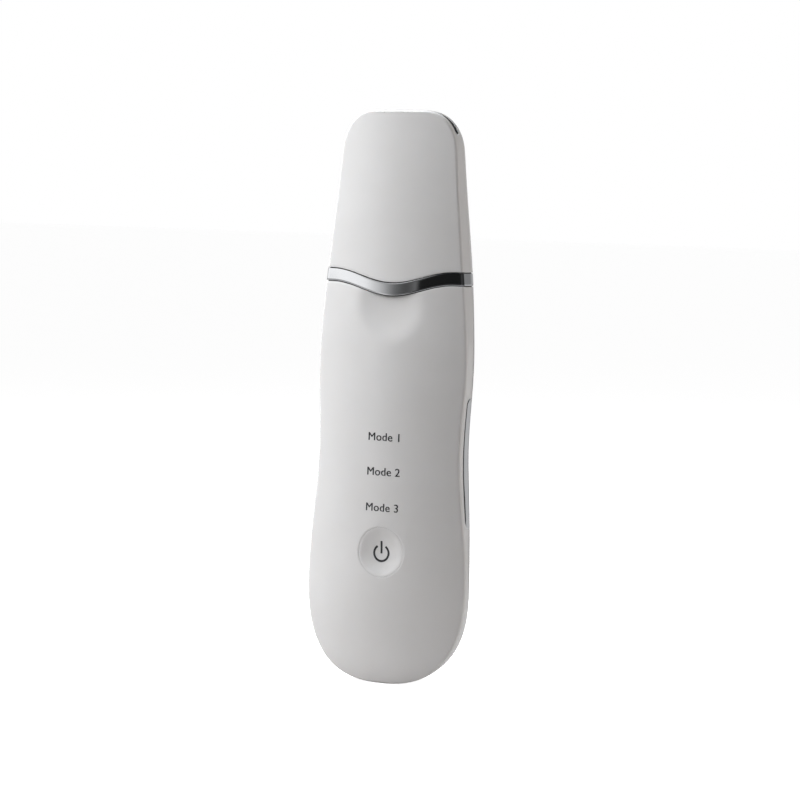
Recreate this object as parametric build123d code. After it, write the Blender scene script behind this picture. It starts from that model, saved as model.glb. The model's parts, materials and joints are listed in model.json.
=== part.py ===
from build123d import *
from functools import lru_cache
import math
import os

# Hand-held ultrasonic skin scrubber: a flat, waisted housing of two clamshells, a chrome band at the
# neck, a pull-off cap over a steel spatula blade, and the transducer, board and cell inside.
# Millimetres. +Z runs up the length (blade end on top), the front with the power key faces -Y,
# +X is to the right seen from the front. Origin: centre of the bounding box at its lowest point.

# ---------------------------------------------------------------- outer form
LENGTH = 165.0            # overall, cap fitted
MAX_HALF_W = 25.45        # widest half width, low on the handle
BOTTOM_H = 29.0           # height of the rounded lower end
BOTTOM_POWER = 2.5        # superellipse exponent of the lower end
TOP_CORNER_Z = 153.5      # where the cap's top corner starts
TOP_FLAT = 7.5            # half length of the flat top edge
TOP_POWER = 2.25          # superellipse exponent of the top corners
TOP_SIDE_SLOPE = 0.086    # inward slope carried through the top corners
LOW_SWELL, TOP_SWELL = 0.135, 0.053   # the ends swell by this much in front of the crease
OUTLINE_POINTS = 34       # on each half of the silhouette
BEND_WEIGHT = 18.0        # how strongly outline points gather where it bends
# half width of the silhouette: (z, x)
SIDE = [(29, 25.45), (36, 25.2), (47, 24.25), (57, 23.2), (67, 22.68), (77, 23.0), (87, 23.6),
        (95, 23.68), (105, 23.1), (117, 21.95), (131, 20.5), (145, 19.12), (157, 18.1)]
SIDE_SLOPES = (0.0, -0.088)
# front centre line: (z, y)
FRONT = [(-6, -6.15), (0, -7.05), (10, -8.15), (20, -8.7), (38, -9.05), (70, -8.95),
         (100, -8.65), (115, -8.35), (140, -7.75), (165, -7.05), (171, -6.85)]
FRONT_SLOPES = (0.17, 0.034)
# radius of the front crown across the width: (z, radius)
CROWN_R = [(-6, 85), (38, 85), (67, 88), (100, 100), (113, 110), (150, 120), (171, 120)]
# how far the outline has moved in where the rear turns flat: (z, distance)
RUN_IN = [(0, 7.6), (12, 8.8), (27, 11.2), (38, 11.3), (56, 10.6), (85, 11.0), (117, 10.0),
          (165, 6.6)]
# share of the fuller flank section, the rest being an even roll-off: (z, share)
FLANK_MIX = [(0, 0.0), (34, 0.0), (43, 0.3), (49, 0.55), (55, 0.8), (60, 0.88), (66, 0.8),
             (72, 0.68), (86, 0.5), (100, 0.5), (107, 0.6), (113, 0.75), (120, 0.9), (128, 1.0),
             (171, 1.0)]
FLANK_START = 0.24        # depth share where the fuller flank starts to turn in
Y_REAR = 9.05             # flat rear pad
Y_CREASE = -5.55          # where the front crown meets the side band
DEPTH = Y_REAR - Y_CREASE
LEAN = math.radians(8)    # inward lean of the side band on the lower body
CAP_TAPER = 0.315         # the cap loses this share of its depth over CAP_TAPER_L
CAP_TAPER_Z, CAP_TAPER_L = 117.0, 48.0
CREASE_R = 0.8
# depth shares of the outline rings, from in front of the crease to the rear pad
LAYERS = [-0.5, -0.25, 0.0] + [math.sin(math.radians(a))
                               for a in (12, 25, 38, 50, 61, 71, 79, 85, 90)]

# ---------------------------------------------------------------- shared sizes
WALL = 1.8
MID_WALL = 1.0            # inset of the step inside the wall
Y_PART = 2.0              # parting plane of the two housing shells
LIP_DEPTH, LIP_TOP_Z = 0.8, 108
BAND_Z0, BAND_Z1 = 115.3, 119.3     # shoulders of the chrome band
BAND_DIP, BAND_HALF = 3.6, 19.5     # its centre dips in a cosine wave
BAND_GAP = 0.12
KEY_Z, KEY_R, KEY_GAP = 38.2, 7.2, 0.07
KEY_FLANGE_R, KEY_FLANGE_HOLE_R, KEY_REAR_Y = 8.0, 8.3, -6.22
KEY_DISH_DEPTH = 0.6
DISH_Z, DISH_R, DISH_DEPTH = 109.0, 9.9, 0.95
ELEC_Z0, ELEC_Z1, ELEC_Y0, ELEC_Y1, ELEC_PROUD = 46.0, 83.5, -3.7, 1.0, 0.25
ELEC_MID_Y = (ELEC_Y0 + ELEC_Y1) / 2
ELEC_PIN_Z = 65
BOARD_Y0, BOARD_Y1 = -3.9, -2.9     # front and rear faces
BOARD_HALF_W, BOARD_Z0, BOARD_Z1 = 16.6, 3.0, 78.0
AXIS_Y = 0.2              # transducer axis
SCREW_XZ = [(-11.0, 20.0), (11.0, 20.0), (-13.5, 97.0), (13.5, 97.0)]
BOARD_SCREW_XZ = [(-12.8, 34.0), (12.8, 34.0), (-12.8, 73.5), (12.8, 73.5)]
SCREW_R, BOARD_SCREW_R = 1.0, 0.9
SCREW_SEAT_Y = 5.0        # underside of the housing screw heads
SOCKET_Y = -1.55
FAR_X, FAR_Y = 40, 30     # half reach of cutting tools that clear the whole product

os.makedirs("parts", exist_ok=True)


# ---------------------------------------------------------------- curves
def lerp_table(table, z):
    if z <= table[0][0]:
        return table[0][1]
    for (a, value_a), (b, value_b) in zip(table, table[1:]):
        if z <= b:
            return value_a + (value_b - value_a) * (z - a) / (b - a)
    return table[-1][1]


def cubic(table, start_slope, end_slope):
    """Cubic spline function through the table with the given end slopes."""
    n = len(table)
    x = [p[0] for p in table]
    y = [p[1] for p in table]
    h = [x[i + 1] - x[i] for i in range(n - 1)]
    rise = [(y[i + 1] - y[i]) / h[i] for i in range(n - 1)]
    # tridiagonal system for the second derivatives
    below = [0.0] + h
    above = h + [0.0]
    diag = [2 * (a + b) for a, b in zip(below, above)]
    slopes = [start_slope] + rise + [end_slope]
    rhs = [6 * (b - a) for a, b in zip(slopes, slopes[1:])]
    for i in range(1, n):
        w = below[i] / diag[i - 1]
        diag[i] -= w * above[i - 1]
        rhs[i] -= w * rhs[i - 1]
    bend = [0.0] * n
    bend[-1] = rhs[-1] / diag[-1]
    for i in range(n - 2, -1, -1):
        bend[i] = (rhs[i] - above[i] * bend[i + 1]) / diag[i]

    def value(v):
        i = 0
        while i < n - 2 and v > x[i + 1]:
            i += 1
        t = v - x[i]
        return (y[i] + t * (rise[i] - h[i] * (2 * bend[i] + bend[i + 1]) / 6)
                + t * t * bend[i] / 2 + t ** 3 * (bend[i + 1] - bend[i]) / (6 * h[i]))
    return value


side_w = cubic(SIDE, *SIDE_SLOPES)
front_y = cubic(FRONT, *FRONT_SLOPES)


def crown_y(x, z):
    """Depth position of the front crown surface."""
    return front_y(z) + x * x / (2 * lerp_table(CROWN_R, z))


# ---------------------------------------------------------------- silhouette
def half_outline():
    """Right half of the silhouette as a dense polyline, bottom centre to top centre."""
    points = []
    power = 2 / BOTTOM_POWER
    for i in range(401):
        t = math.pi / 2 * i / 400
        points.append((MAX_HALF_W * math.sin(t) ** power,
                       BOTTOM_H - (BOTTOM_H - LOW_SWELL) * math.cos(t) ** power))
    for i in range(1, 601):
        z = BOTTOM_H + (TOP_CORNER_Z - BOTTOM_H) * i / 600
        points.append((side_w(z), z))
    corner_h = LENGTH - TOP_SWELL - TOP_CORNER_Z
    corner_w = side_w(TOP_CORNER_Z)
    power = 2 / TOP_POWER
    for i in range(1, 301):
        t = math.pi / 2 * i / 300
        z = TOP_CORNER_Z + corner_h * math.sin(t) ** power
        side = corner_w - TOP_SIDE_SLOPE * (z - TOP_CORNER_Z)
        points.append((TOP_FLAT + (side - TOP_FLAT) * math.cos(t) ** power, z))
    for i in range(1, 31):
        points.append((TOP_FLAT * (1 - i / 30), LENGTH - TOP_SWELL))
    return points


def resample(points, count, weight):
    """Take count points along the polyline, closer together where it bends."""
    run = [0.0]
    for a, b in zip(points, points[1:]):
        run.append(run[-1] + math.hypot(b[0] - a[0], b[1] - a[1]))
    total = run[-1]

    def at(u):
        low, high = 0, len(run) - 1
        while high - low > 1:
            mid = (low + high) // 2
            if run[mid] <= u:
                low = mid
            else:
                high = mid
        k = (u - run[low]) / (run[high] - run[low] or 1)
        a, b = points[low], points[high]
        return (a[0] + k * (b[0] - a[0]), a[1] + k * (b[1] - a[1]))

    m = 1200       # even steps along the line
    step = 14      # steps to each side when measuring the turn
    reach = 60     # steps to each side when smoothing it
    even = [at(total * i / m) for i in range(m + 1)]
    turn = []
    for i in range(m + 1):
        a, b, c = even[max(i - step, 0)], even[i], even[min(i + step, m)]
        angle_in = math.atan2(b[1] - a[1], b[0] - a[0]) if i > 0 else 0.0
        angle_out = math.atan2(c[1] - b[1], c[0] - b[0]) if i < m else math.pi
        change = abs((angle_out - angle_in + math.pi) % (2 * math.pi) - math.pi)
        turn.append(change / (step * total / m))
    density = []
    for i in range(m + 1):
        window = turn[max(i - reach, 0):i + reach + 1]
        density.append(1 + weight * sum(window) / len(window))
    filled = [0.0]
    for i in range(m):
        filled.append(filled[-1] + (density[i] + density[i + 1]) / 2)
    result = []
    j = 0
    for i in range(count):
        goal = filled[-1] * i / (count - 1)
        while j < m - 1 and filled[j + 1] < goal:
            j += 1
        k = (goal - filled[j]) / (filled[j + 1] - filled[j])
        result.append(at(total * (j + k) / m))
    return result


def outward_normals(ring):
    normals = []
    for i, (x, z) in enumerate(ring):
        (xa, za), (xb, zb) = ring[i - 1], ring[(i + 1) % len(ring)]
        before, after = math.hypot(x - xa, z - za), math.hypot(xb - x, zb - z)
        tx = ((x - xa) / before * after + (xb - x) / after * before) / (before + after)
        tz = ((z - za) / before * after + (zb - z) / after * before) / (before + after)
        size = math.hypot(tx, tz)
        normals.append((tz / size, -tx / size))
    return normals


HALF = resample(half_outline(), OUTLINE_POINTS, BEND_WEIGHT)
HALF[0], HALF[-1] = (0.0, LOW_SWELL), (0.0, LENGTH - TOP_SWELL)
RING = HALF + [(-x, z) for x, z in HALF[-2:0:-1]]
RING_NORMALS = outward_normals(RING)


# ---------------------------------------------------------------- envelope
def profile(v, z):
    """Share of RUN_IN reached at depth share v behind the crease."""
    s0 = math.sin(LEAN)
    if v < 0:
        even, fuller = v * math.tan(LEAN) * (1 - s0) / math.cos(LEAN), 0.0
    else:
        round_off = math.sqrt(max(0.0, 1 - (s0 + v * (1 - s0)) ** 2))
        even = (math.cos(LEAN) - round_off) / math.cos(LEAN)
        fuller = 0.0
        if v >= FLANK_START:
            share = (v - FLANK_START) / (1 - FLANK_START)
            fuller = 1 - math.sqrt(max(0.0, 1 - share ** 2))
    mix = lerp_table(FLANK_MIX, z)
    return (1 - mix) * even + mix * fuller


def layer(v, inset, tapered):
    """Outline ring at depth share v."""
    s0 = math.sin(LEAN)
    sine = max(0.0, min(1.0, s0 + v * (1 - s0))) if v > 0 else 0.0
    cosine = math.sqrt(1 - sine * sine)
    points = []
    for (x, z), (nx, nz) in zip(RING, RING_NORMALS):
        d = lerp_table(RUN_IN, z) * profile(v, z) + inset * cosine
        px, pz = x - nx * d, z - nz * d
        depth = DEPTH * v - inset * sine
        if tapered:
            depth *= 1 - CAP_TAPER * (pz - CAP_TAPER_Z) / CAP_TAPER_L
        points.append((px, Y_CREASE + depth, pz))
    return Wire([Edge.make_spline(points, periodic=True)])


def crown(inset):
    """Everything behind the front crown surface."""
    zs = [-6 + 177 * i / 22 for i in range(23)]
    xs = [-34 + 68 * i / 12 for i in range(13)]
    rows = [[Vector(x, crown_y(x, z) + inset, z) for z in zs] for x in xs]
    face = Face.make_surface_from_array_of_points(rows)
    return Solid.extrude(face, Vector(0, 40, 0))


@lru_cache(maxsize=None)
def envelope(inset, tapered=False):
    """The outer form moved in by inset, as one closed solid."""
    form = Solid.make_loft([layer(v, inset, tapered) for v in LAYERS])
    return (form & crown(inset)).solids()[0]


def creased(tapered):
    """Outer form with the crease between crown and side band rounded."""
    form = envelope(0.0, tapered)
    rim = []
    for edge in form.edges():
        middle = edge @ 0.5
        if abs(middle.Y - crown_y(middle.X, middle.Z)) < 0.25 and edge.length > 3:
            rim.append(edge)
    return form.fillet(CREASE_R, rim)


# ---------------------------------------------------------------- helpers
def one(shape):
    """The single largest solid of a result."""
    return max(shape.solids(), key=lambda s: s.volume)


def box(x0, x1, y0, y1, z0, z1):
    """Box between two corners; x0 and x1 may come in either order."""
    return Pos((x0 + x1) / 2, (y0 + y1) / 2, (z0 + z1) / 2) * Box(abs(x1 - x0), y1 - y0, z1 - z0)


def cyl_x(y, z, r, x0, x1):
    """Cylinder along X; x0 and x1 may come in either order."""
    return Pos((x0 + x1) / 2, y, z) * Rot(0, 90, 0) * Cylinder(r, abs(x1 - x0))


def cyl_y(x, z, r, y0, y1):
    return Pos(x, (y0 + y1) / 2, z) * Rot(90, 0, 0) * Cylinder(r, y1 - y0)


def cyl_z(x, y, r, z0, z1):
    return Pos(x, y, (z0 + z1) / 2) * Cylinder(r, z1 - z0)


def axis_cyl(r, z0, z1):
    """Cylinder on the transducer axis."""
    return cyl_z(0, AXIS_Y, r, z0, z1)


def axis_ring(r0, r1, z0, z1):
    return axis_cyl(r1, z0, z1) - axis_cyl(r0, z0 - 1, z1 + 1)


def wave(base, x):
    if abs(x) >= BAND_HALF:
        return base
    return base - BAND_DIP * math.cos(math.pi * x / (2 * BAND_HALF)) ** 2


def wave_edge(base, y):
    xs = [-BAND_HALF + 2 * BAND_HALF * i / 16 for i in range(17)]
    return Edge.make_spline([Vector(x, y, wave(base, x)) for x in xs],
                            tangents=[Vector(1, 0, 0), Vector(1, 0, 0)])


def wave_region(low, high):
    """Everything between the waves low and high; None means open below or above."""
    y = -FAR_Y
    z0 = -20 if low is None else low
    z1 = 200 if high is None else high

    def line(xa, za, xb, zb):
        return Edge.make_line(Vector(xa, y, za), Vector(xb, y, zb))

    if low is None:
        edges = [line(-FAR_X, z0, FAR_X, z0)]
    else:
        edges = [line(-FAR_X, low, -BAND_HALF, low), wave_edge(low, y),
                 line(BAND_HALF, low, FAR_X, low)]
    edges.append(line(FAR_X, z0, FAR_X, z1))
    if high is None:
        edges.append(line(FAR_X, z1, -FAR_X, z1))
    else:
        edges += [line(FAR_X, high, BAND_HALF, high), wave_edge(high, y),
                  line(-BAND_HALF, high, -FAR_X, high)]
    edges.append(line(-FAR_X, z1, -FAR_X, z0))
    return Solid.extrude(Face(Wire(edges)), Vector(0, 2 * FAR_Y, 0))


def section_wire(z, inset):
    """Neck cross-section at height z: front arc, two flanks, flat rear."""
    taper = 1 - CAP_TAPER * max(0.0, z - CAP_TAPER_Z) / CAP_TAPER_L
    s0 = math.sin(LEAN)
    flank = []
    for v in [0.1] + [math.sin(math.radians(a)) for a in (15, 30, 42, 53, 63, 72, 80, 90)]:
        sine = min(1.0, s0 + v * (1 - s0))
        cosine = math.sqrt(1 - sine * sine)
        flank.append((side_w(z) - lerp_table(RUN_IN, z) * profile(v, z) - inset * cosine,
                      Y_CREASE + (DEPTH * v - inset * sine) * taper))
    corner_x = side_w(z) - inset
    corner_y = crown_y(corner_x, z) + inset
    right = [Vector(corner_x, corner_y, z)]
    right += [Vector(x, y, z) for x, y in flank if y > corner_y + 0.4]
    left = [Vector(-p.X, p.Y, p.Z) for p in right]
    front = [Vector(k * corner_x, crown_y(k * corner_x, z) + inset, z)
             for k in (-1, -0.66, -0.33, 0, 0.33, 0.66, 1)]
    return Wire([Edge.make_spline(front), Edge.make_spline(right),
                 Edge.make_line(right[-1], left[-1]), Edge.make_spline(left[::-1])])


def neck(inset, z0, z1):
    """Solid neck form between two heights, following the outer form at the inset."""
    n = max(2, int((z1 - z0) / 3.5) + 1)
    return Solid.make_loft([section_wire(z0 + (z1 - z0) * i / n, inset) for i in range(n + 1)])


def electrode_tool(side, grow=0.0):
    """Round-ended prism along X, standing in Z, through one side of the housing."""
    y0, y1, z0, z1 = ELEC_Y0 - grow, ELEC_Y1 + grow, ELEC_Z0 - grow, ELEC_Z1 + grow
    x0, x1 = 12 * side, 30 * side
    r = (y1 - y0) / 2
    y = (y0 + y1) / 2
    return (box(x0, x1, y0, y1, z0 + r, z1 - r) + cyl_x(y, z0 + r, r, x0, x1)
            + cyl_x(y, z1 - r, r, x0, x1))


def dish_over_crown(centre_z, radius, depth, half, n=13):
    """Cutting tool with a paraboloid floor laid over the crown, meeting it at the radius."""
    rows = []
    for i in range(n):
        x = -half + 2 * half * i / (n - 1)
        row = []
        for j in range(n):
            z = centre_z - half + 2 * half * j / (n - 1)
            sink = depth * (1 - (x * x + (z - centre_z) ** 2) / radius ** 2)
            row.append(Vector(x, crown_y(x, z) + sink, z))
        rows.append(row)
    return Solid.extrude(Face.make_surface_from_array_of_points(rows), Vector(0, -12, 0))


def wire_run(points, r, start, end):
    """Round insulated wire along a smooth path with start and end directions."""
    path = Edge.make_spline([Vector(*p) for p in points], tangents=[Vector(*start), Vector(*end)])
    disc = Face(Wire([Edge.make_circle(r, Plane(origin=path @ 0, z_dir=path % 0))]))
    return sweep(disc, path=path)


def cross_screw(x, z, shaft_r, tip_y, seat_y, head_r, head_h, round_r, arm, half_slot):
    """Screw along Y, its head to the rear with a cross recess."""
    head_y = seat_y + head_h
    recess_y = seat_y + 0.6
    screw = cyl_y(x, z, shaft_r, tip_y, seat_y) + cyl_y(x, z, head_r, seat_y, head_y)
    screw = screw.fillet(round_r, screw.edges().group_by(Axis.Y)[-1])
    return one(screw - box(x - arm, x + arm, recess_y, head_y + 1, z - half_slot, z + half_slot)
               - box(x - half_slot, x + half_slot, recess_y, head_y + 1, z - arm, z + arm))


def write_part(name, *shapes):
    solids = []
    for shape in shapes:
        solids += list(shape.solids())
    export_step(solids[0] if len(solids) == 1 else Compound(children=solids),
                "parts/%s.step" % name)


# ---------------------------------------------------------------- base forms
body_form = creased(False)
cap_form = creased(True)
body_core = envelope(WALL)
cap_core = envelope(WALL, True)
mid_wall = envelope(MID_WALL)

# shallow thumb dish under the band, and the round dish of the power key
thumb_dish = dish_over_crown(DISH_Z, DISH_R, DISH_DEPTH, 15)
key_dish = dish_over_crown(KEY_Z, KEY_R - 0.2, KEY_DISH_DEPTH, 9)

# ---------------------------------------------------------------- housing shells
shell = one((body_form - thumb_dish) & wave_region(None, BAND_Z0))
shell = one(shell - body_core)
front_half = box(-FAR_X, FAR_X, -FAR_Y, Y_PART, -20, 140)
rear_half = box(-FAR_X, FAR_X, Y_PART, FAR_Y, -20, 140)
front_shell = shell & front_half
rear_shell = shell & rear_half

# lap joint: a lip on the rear shell sits in a groove of the front shell
lip = (mid_wall - body_core) & box(-FAR_X, FAR_X, Y_PART - LIP_DEPTH, Y_PART, -20, LIP_TOP_Z)
rear_shell = rear_shell + lip

# ribs that hold the transducer cradle and the neck collar
ribs = (box(-18, 18, -12, 12, 86.6, 88.4) + box(-30, 30, -12, 12, 101.8, 103.6)) & mid_wall
ribs = ribs - axis_cyl(7.06, 80, 95) - axis_cyl(8.6, 96, 110)
ribs = ribs - box(-10.6, 10.6, AXIS_Y - 2.0, AXIS_Y + 1.4, 86, 89)
front_shell = front_shell + (ribs & front_half)
rear_shell = rear_shell + ((ribs & rear_half) & body_core)

# screw bosses
front_bosses = [cyl_y(x, z, 2.6, -12, Y_PART) for x, z in SCREW_XZ]
front_bosses += [cyl_y(x, z, 2.3, -12, BOARD_Y0) for x, z in BOARD_SCREW_XZ]
rear_bosses = [cyl_y(x, z, 2.9, Y_PART, 12) for x, z in SCREW_XZ]
front_shell = front_shell.fuse(*[one(mid_wall & b) for b in front_bosses])
rear_shell = rear_shell.fuse(*[one(mid_wall & b) for b in rear_bosses])

# screw holes, and the openings for the power key, the charging socket and the side electrodes
front_cuts = [cyl_y(x, z, SCREW_R, -4.6, Y_PART + 1) for x, z in SCREW_XZ]
front_cuts += [cyl_y(x, z, BOARD_SCREW_R, -5.6, BOARD_Y0 + 1) for x, z in BOARD_SCREW_XZ]
front_cuts += [cyl_y(0, KEY_Z, KEY_R, -14, -5), cyl_y(0, KEY_Z, KEY_FLANGE_HOLE_R, -6.95, -4.5)]
SOCKET_HOLE_X, SOCKET_HOLE_R = 3.1, 1.6     # centre of each round end, and its radius
socket_hole = (box(-SOCKET_HOLE_X, SOCKET_HOLE_X,
                   SOCKET_Y - SOCKET_HOLE_R, SOCKET_Y + SOCKET_HOLE_R, -5, 4)
               + cyl_z(-SOCKET_HOLE_X, SOCKET_Y, SOCKET_HOLE_R, -5, 4)
               + cyl_z(SOCKET_HOLE_X, SOCKET_Y, SOCKET_HOLE_R, -5, 4))
front_cuts.append(one(socket_hole))
for side in (-1, 1):
    front_cuts.append(one(electrode_tool(side, grow=0.04) - mid_wall))
    front_cuts.append(cyl_x(ELEC_MID_Y, ELEC_PIN_Z, 1.2, 18 * side, 26 * side))
front_shell = front_shell.cut(*front_cuts, *lip.solids())
rear_shell = rear_shell.cut(*[cyl_y(x, z, 1.15, 0, 12) for x, z in SCREW_XZ],
                            *[cyl_y(x, z, 2.3, SCREW_SEAT_Y, 14) for x, z in SCREW_XZ])
write_part("front_shell", one(front_shell))
write_part("rear_shell", one(rear_shell))

# ---------------------------------------------------------------- neck: band, collar, seal
COLLAR_Z0, COLLAR_TOP = 104.0, 124.5
COLLAR_FLOOR = 2.0
COLLAR_INNER = 3.2        # inset of the collar's inner face
SEAL_Z0, SEAL_Z1 = 121.2, 122.8
SEAL_INNER = 2.48         # inset of the seal groove's floor

band = (body_form & wave_region(BAND_Z0 + BAND_GAP, BAND_Z1 - BAND_GAP)) - body_core
write_part("chrome_band", one(band))

collar = (neck(WALL + 0.08, COLLAR_Z0, COLLAR_TOP)
          - neck(COLLAR_INNER, COLLAR_Z0 + COLLAR_FLOOR, COLLAR_TOP + 2))
collar = collar - axis_cyl(5.9, 100, 107)
collar = collar - (neck(1.2, SEAL_Z0, SEAL_Z1) - neck(SEAL_INNER, 120.0, 124.0))
write_part("neck_collar", one(collar))
write_part("neck_seal",
           one(neck(WALL + 0.04, SEAL_Z0, SEAL_Z1) - neck(SEAL_INNER, 120.0, 124.0)))

# ---------------------------------------------------------------- cap
SLOT_Y0, SLOT_Y1, SLOT_END_Z = -4.7, -2.2, 158.2
SLOT_R = (SLOT_Y1 - SLOT_Y0) / 2

cap = one(cap_form & wave_region(BAND_Z1, None))
cap = one((cap - cap_core) & box(-FAR_X, FAR_X, -FAR_Y, Y_REAR, 100, 180))
# round-bottomed slot across the top
slot = box(-FAR_X, FAR_X, SLOT_Y0, SLOT_Y1, SLOT_END_Z + SLOT_R, 180)
slot = slot + cyl_x((SLOT_Y0 + SLOT_Y1) / 2, SLOT_END_Z + SLOT_R, SLOT_R, -FAR_X, FAR_X)
write_part("cap", one(cap - slot))

# ---------------------------------------------------------------- spatula blade
BLADE_T, BLADE_Y, BLADE_TIP_Z = 1.0, -2.8, 164.0
BLADE_HALF_W = 15.9
BLADE_CORNER_Z = 153.0    # where the tip corners start
BLADE_TIP_FLAT = 7.0      # half length of the straight tip edge
SHANK_HALF_W, SHANK_Z0, SHANK_Z1 = 5.0, 108, 119
# centre line seen from the side: (y, z)
BLADE_LINE = [(AXIS_Y, 110.2), (AXIS_Y, 117.0), (AXIS_Y, 123.0), (-0.1, 128.5), (-1.3, 136.0),
              (-2.5, 143.0), (BLADE_Y, 149.0), (BLADE_Y, 157.0), (BLADE_Y, BLADE_TIP_Z)]
# right edge from shank to full width: (x, z)
BLADE_FLARE = [(SHANK_HALF_W, SHANK_Z1), (5.4, 122.5), (7.6, 127.0), (11.2, 132.0),
               (14.2, 138.0), (15.6, 144.5), (BLADE_HALF_W, BLADE_CORNER_Z)]
UP = Vector(0, 0, 1)
TO_LEFT = Vector(-1, 0, 0)


def blade_strip():
    """Bent strip of blade thickness, wider than the blade."""
    front, rear = [], []
    last = len(BLADE_LINE) - 1
    for i, (y, z) in enumerate(BLADE_LINE):
        a, b = BLADE_LINE[max(i - 1, 0)], BLADE_LINE[min(i + 1, last)]
        ty, tz = b[0] - a[0], b[1] - a[1]
        size = math.hypot(ty, tz)
        ny, nz = tz / size, -ty / size
        front.append(Vector(-20, y - ny * BLADE_T / 2, z - nz * BLADE_T / 2))
        rear.append(Vector(-20, y + ny * BLADE_T / 2, z + nz * BLADE_T / 2))
    rim = Wire([Edge.make_spline(front, tangents=[UP, UP]), Edge.make_line(front[-1], rear[-1]),
                Edge.make_spline(rear[::-1], tangents=[-UP, -UP]),
                Edge.make_line(rear[0], front[0])])
    return Solid.extrude(Face(rim), Vector(40, 0, 0))


def blade_outline():
    """Front view of the blade as a deep prism."""
    corner = []
    for i in range(9):
        t = math.pi / 2 * i / 8
        corner.append((BLADE_TIP_FLAT
                       + (BLADE_HALF_W - BLADE_TIP_FLAT) * math.cos(t) ** (2 / TOP_POWER),
                       BLADE_CORNER_Z
                       + (BLADE_TIP_Z - 0.02 - BLADE_CORNER_Z) * math.sin(t) ** (2 / TOP_POWER)))

    def at(x, z):
        return Vector(x, -20, z)

    def curve(points, mirror, tangents):
        return Edge.make_spline([at(mirror * x, z) for x, z in points], tangents=tangents)

    w = SHANK_HALF_W
    tip_x, tip_z = corner[-1]
    edges = [Edge.make_line(at(-w, SHANK_Z0), at(w, SHANK_Z0)),
             Edge.make_line(at(w, SHANK_Z0), at(w, SHANK_Z1)),
             curve(BLADE_FLARE, 1, [UP, UP]),
             curve(corner, 1, [UP, TO_LEFT]),
             Edge.make_line(at(tip_x, tip_z), at(-tip_x, tip_z)),
             curve(corner[::-1], -1, [TO_LEFT, -UP]),
             curve(BLADE_FLARE[::-1], -1, [-UP, -UP]),
             Edge.make_line(at(-w, SHANK_Z1), at(-w, SHANK_Z0))]
    return Solid.extrude(Face(Wire(edges)), Vector(0, 40, 0))


write_part("spatula_blade", one(blade_strip() & blade_outline()))

blade_seal = (neck(COLLAR_INNER + 0.04, 117.6, 122.4)
              - box(-5.6, 5.6, AXIS_Y - 0.54, AXIS_Y + 0.54, 110, 130))
write_part("blade_seal", one(blade_seal))

# ---------------------------------------------------------------- transducer, along Z
MASS_R, HORN_R = 6.0, 5.0
BOLT_R, BOLT_HEAD_R, BOLT_TOP_Z = 2.0, 3.5, 103.6
REAR_MASS_Z0 = 84.0
STACK_Z0 = 91.6           # underside of the lowest terminal
PIEZO_T, TERMINAL_T = 2.5, 0.2
PIEZO_BORE_R = 2.6
PIEZO_PITCH = PIEZO_T + TERMINAL_T
FLAT_Y = 3.6              # distance of the front mass's flats from the axis

front_mass = axis_cyl(MASS_R, 97.2, 101.2)
front_mass = front_mass + Pos(0, AXIS_Y, 102.0) * Cone(MASS_R, HORN_R, 1.6)
front_mass = front_mass + axis_cyl(HORN_R, 102.8, 116.4)
# slot for the blade, bore for the bolt, flats at the upper end
front_mass = front_mass - box(-8, 8, AXIS_Y - 0.52, AXIS_Y + 0.52, 110.1, 120)
front_mass = front_mass - axis_cyl(BOLT_R, 96, 104.0)
front_mass = front_mass - box(-8, 8, AXIS_Y + FLAT_Y, 10, 109.6, 120)
front_mass = front_mass - box(-8, 8, -10, AXIS_Y - FLAT_Y, 109.6, 120)
write_part("transducer_front_mass", one(front_mass))

rear_mass = axis_cyl(MASS_R, REAR_MASS_Z0, STACK_Z0) - axis_cyl(2.1, 80, 95)
rear_mass = rear_mass.chamfer(0.5, None, rear_mass.edges().group_by(Axis.Z)[0])
write_part("transducer_rear_mass", one(rear_mass))

piezo_z = [STACK_Z0 + TERMINAL_T + i * PIEZO_PITCH for i in range(2)]
write_part("piezo_rings", *[axis_ring(PIEZO_BORE_R, MASS_R, z, z + PIEZO_T) for z in piezo_z])

terminals = []
for i, side in enumerate((1, -1, 1)):
    z = STACK_Z0 + i * PIEZO_PITCH
    tab = box(5.0 * side, 8.2 * side, AXIS_Y - 1.0, AXIS_Y + 1.0, z, z + TERMINAL_T)
    terminals.append(one(axis_ring(PIEZO_BORE_R, MASS_R, z, z + TERMINAL_T) + tab))
write_part("piezo_terminals", *terminals)

bolt = axis_cyl(BOLT_R, 82, BOLT_TOP_Z) + axis_cyl(BOLT_HEAD_R, 80.4, REAR_MASS_Z0)
hex_recess = extrude(Plane(origin=(0, AXIS_Y, 80.0)) * RegularPolygon(1.7, 6), 2.2)
write_part("transducer_bolt", one(bolt - hex_recess))

write_part("rear_grommet", axis_ring(6.02, 7.02, 85.4, 89.6))
front_grommet = axis_ring(5.02, 5.88, 103.0, 106.8) + axis_ring(5.02, 6.7, 103.0, 103.95)
write_part("front_grommet", one(front_grommet))

# ---------------------------------------------------------------- power key and switch
key = one((body_form & cyl_y(0, KEY_Z, KEY_R - KEY_GAP, -14, KEY_REAR_Y)) - key_dish)
key = key + cyl_y(0, KEY_Z, KEY_FLANGE_R, -6.9, KEY_REAR_Y)
write_part("power_button", one(key))

SWITCH_HALF = 2.25
switch = box(-SWITCH_HALF, SWITCH_HALF, -5.7, BOARD_Y0, KEY_Z - SWITCH_HALF, KEY_Z + SWITCH_HALF)
switch = switch.chamfer(0.35, None, switch.edges().filter_by(Axis.Y))
write_part("switch_body", one(switch - cyl_y(0, KEY_Z, 1.14, -6, -5.0)))
plunger = cyl_y(0, KEY_Z, 1.1, -6.2, -5.35)
plunger = plunger.fillet(0.15, plunger.edges().group_by(Axis.Y)[0])
write_part("switch_plunger", one(plunger))

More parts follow.
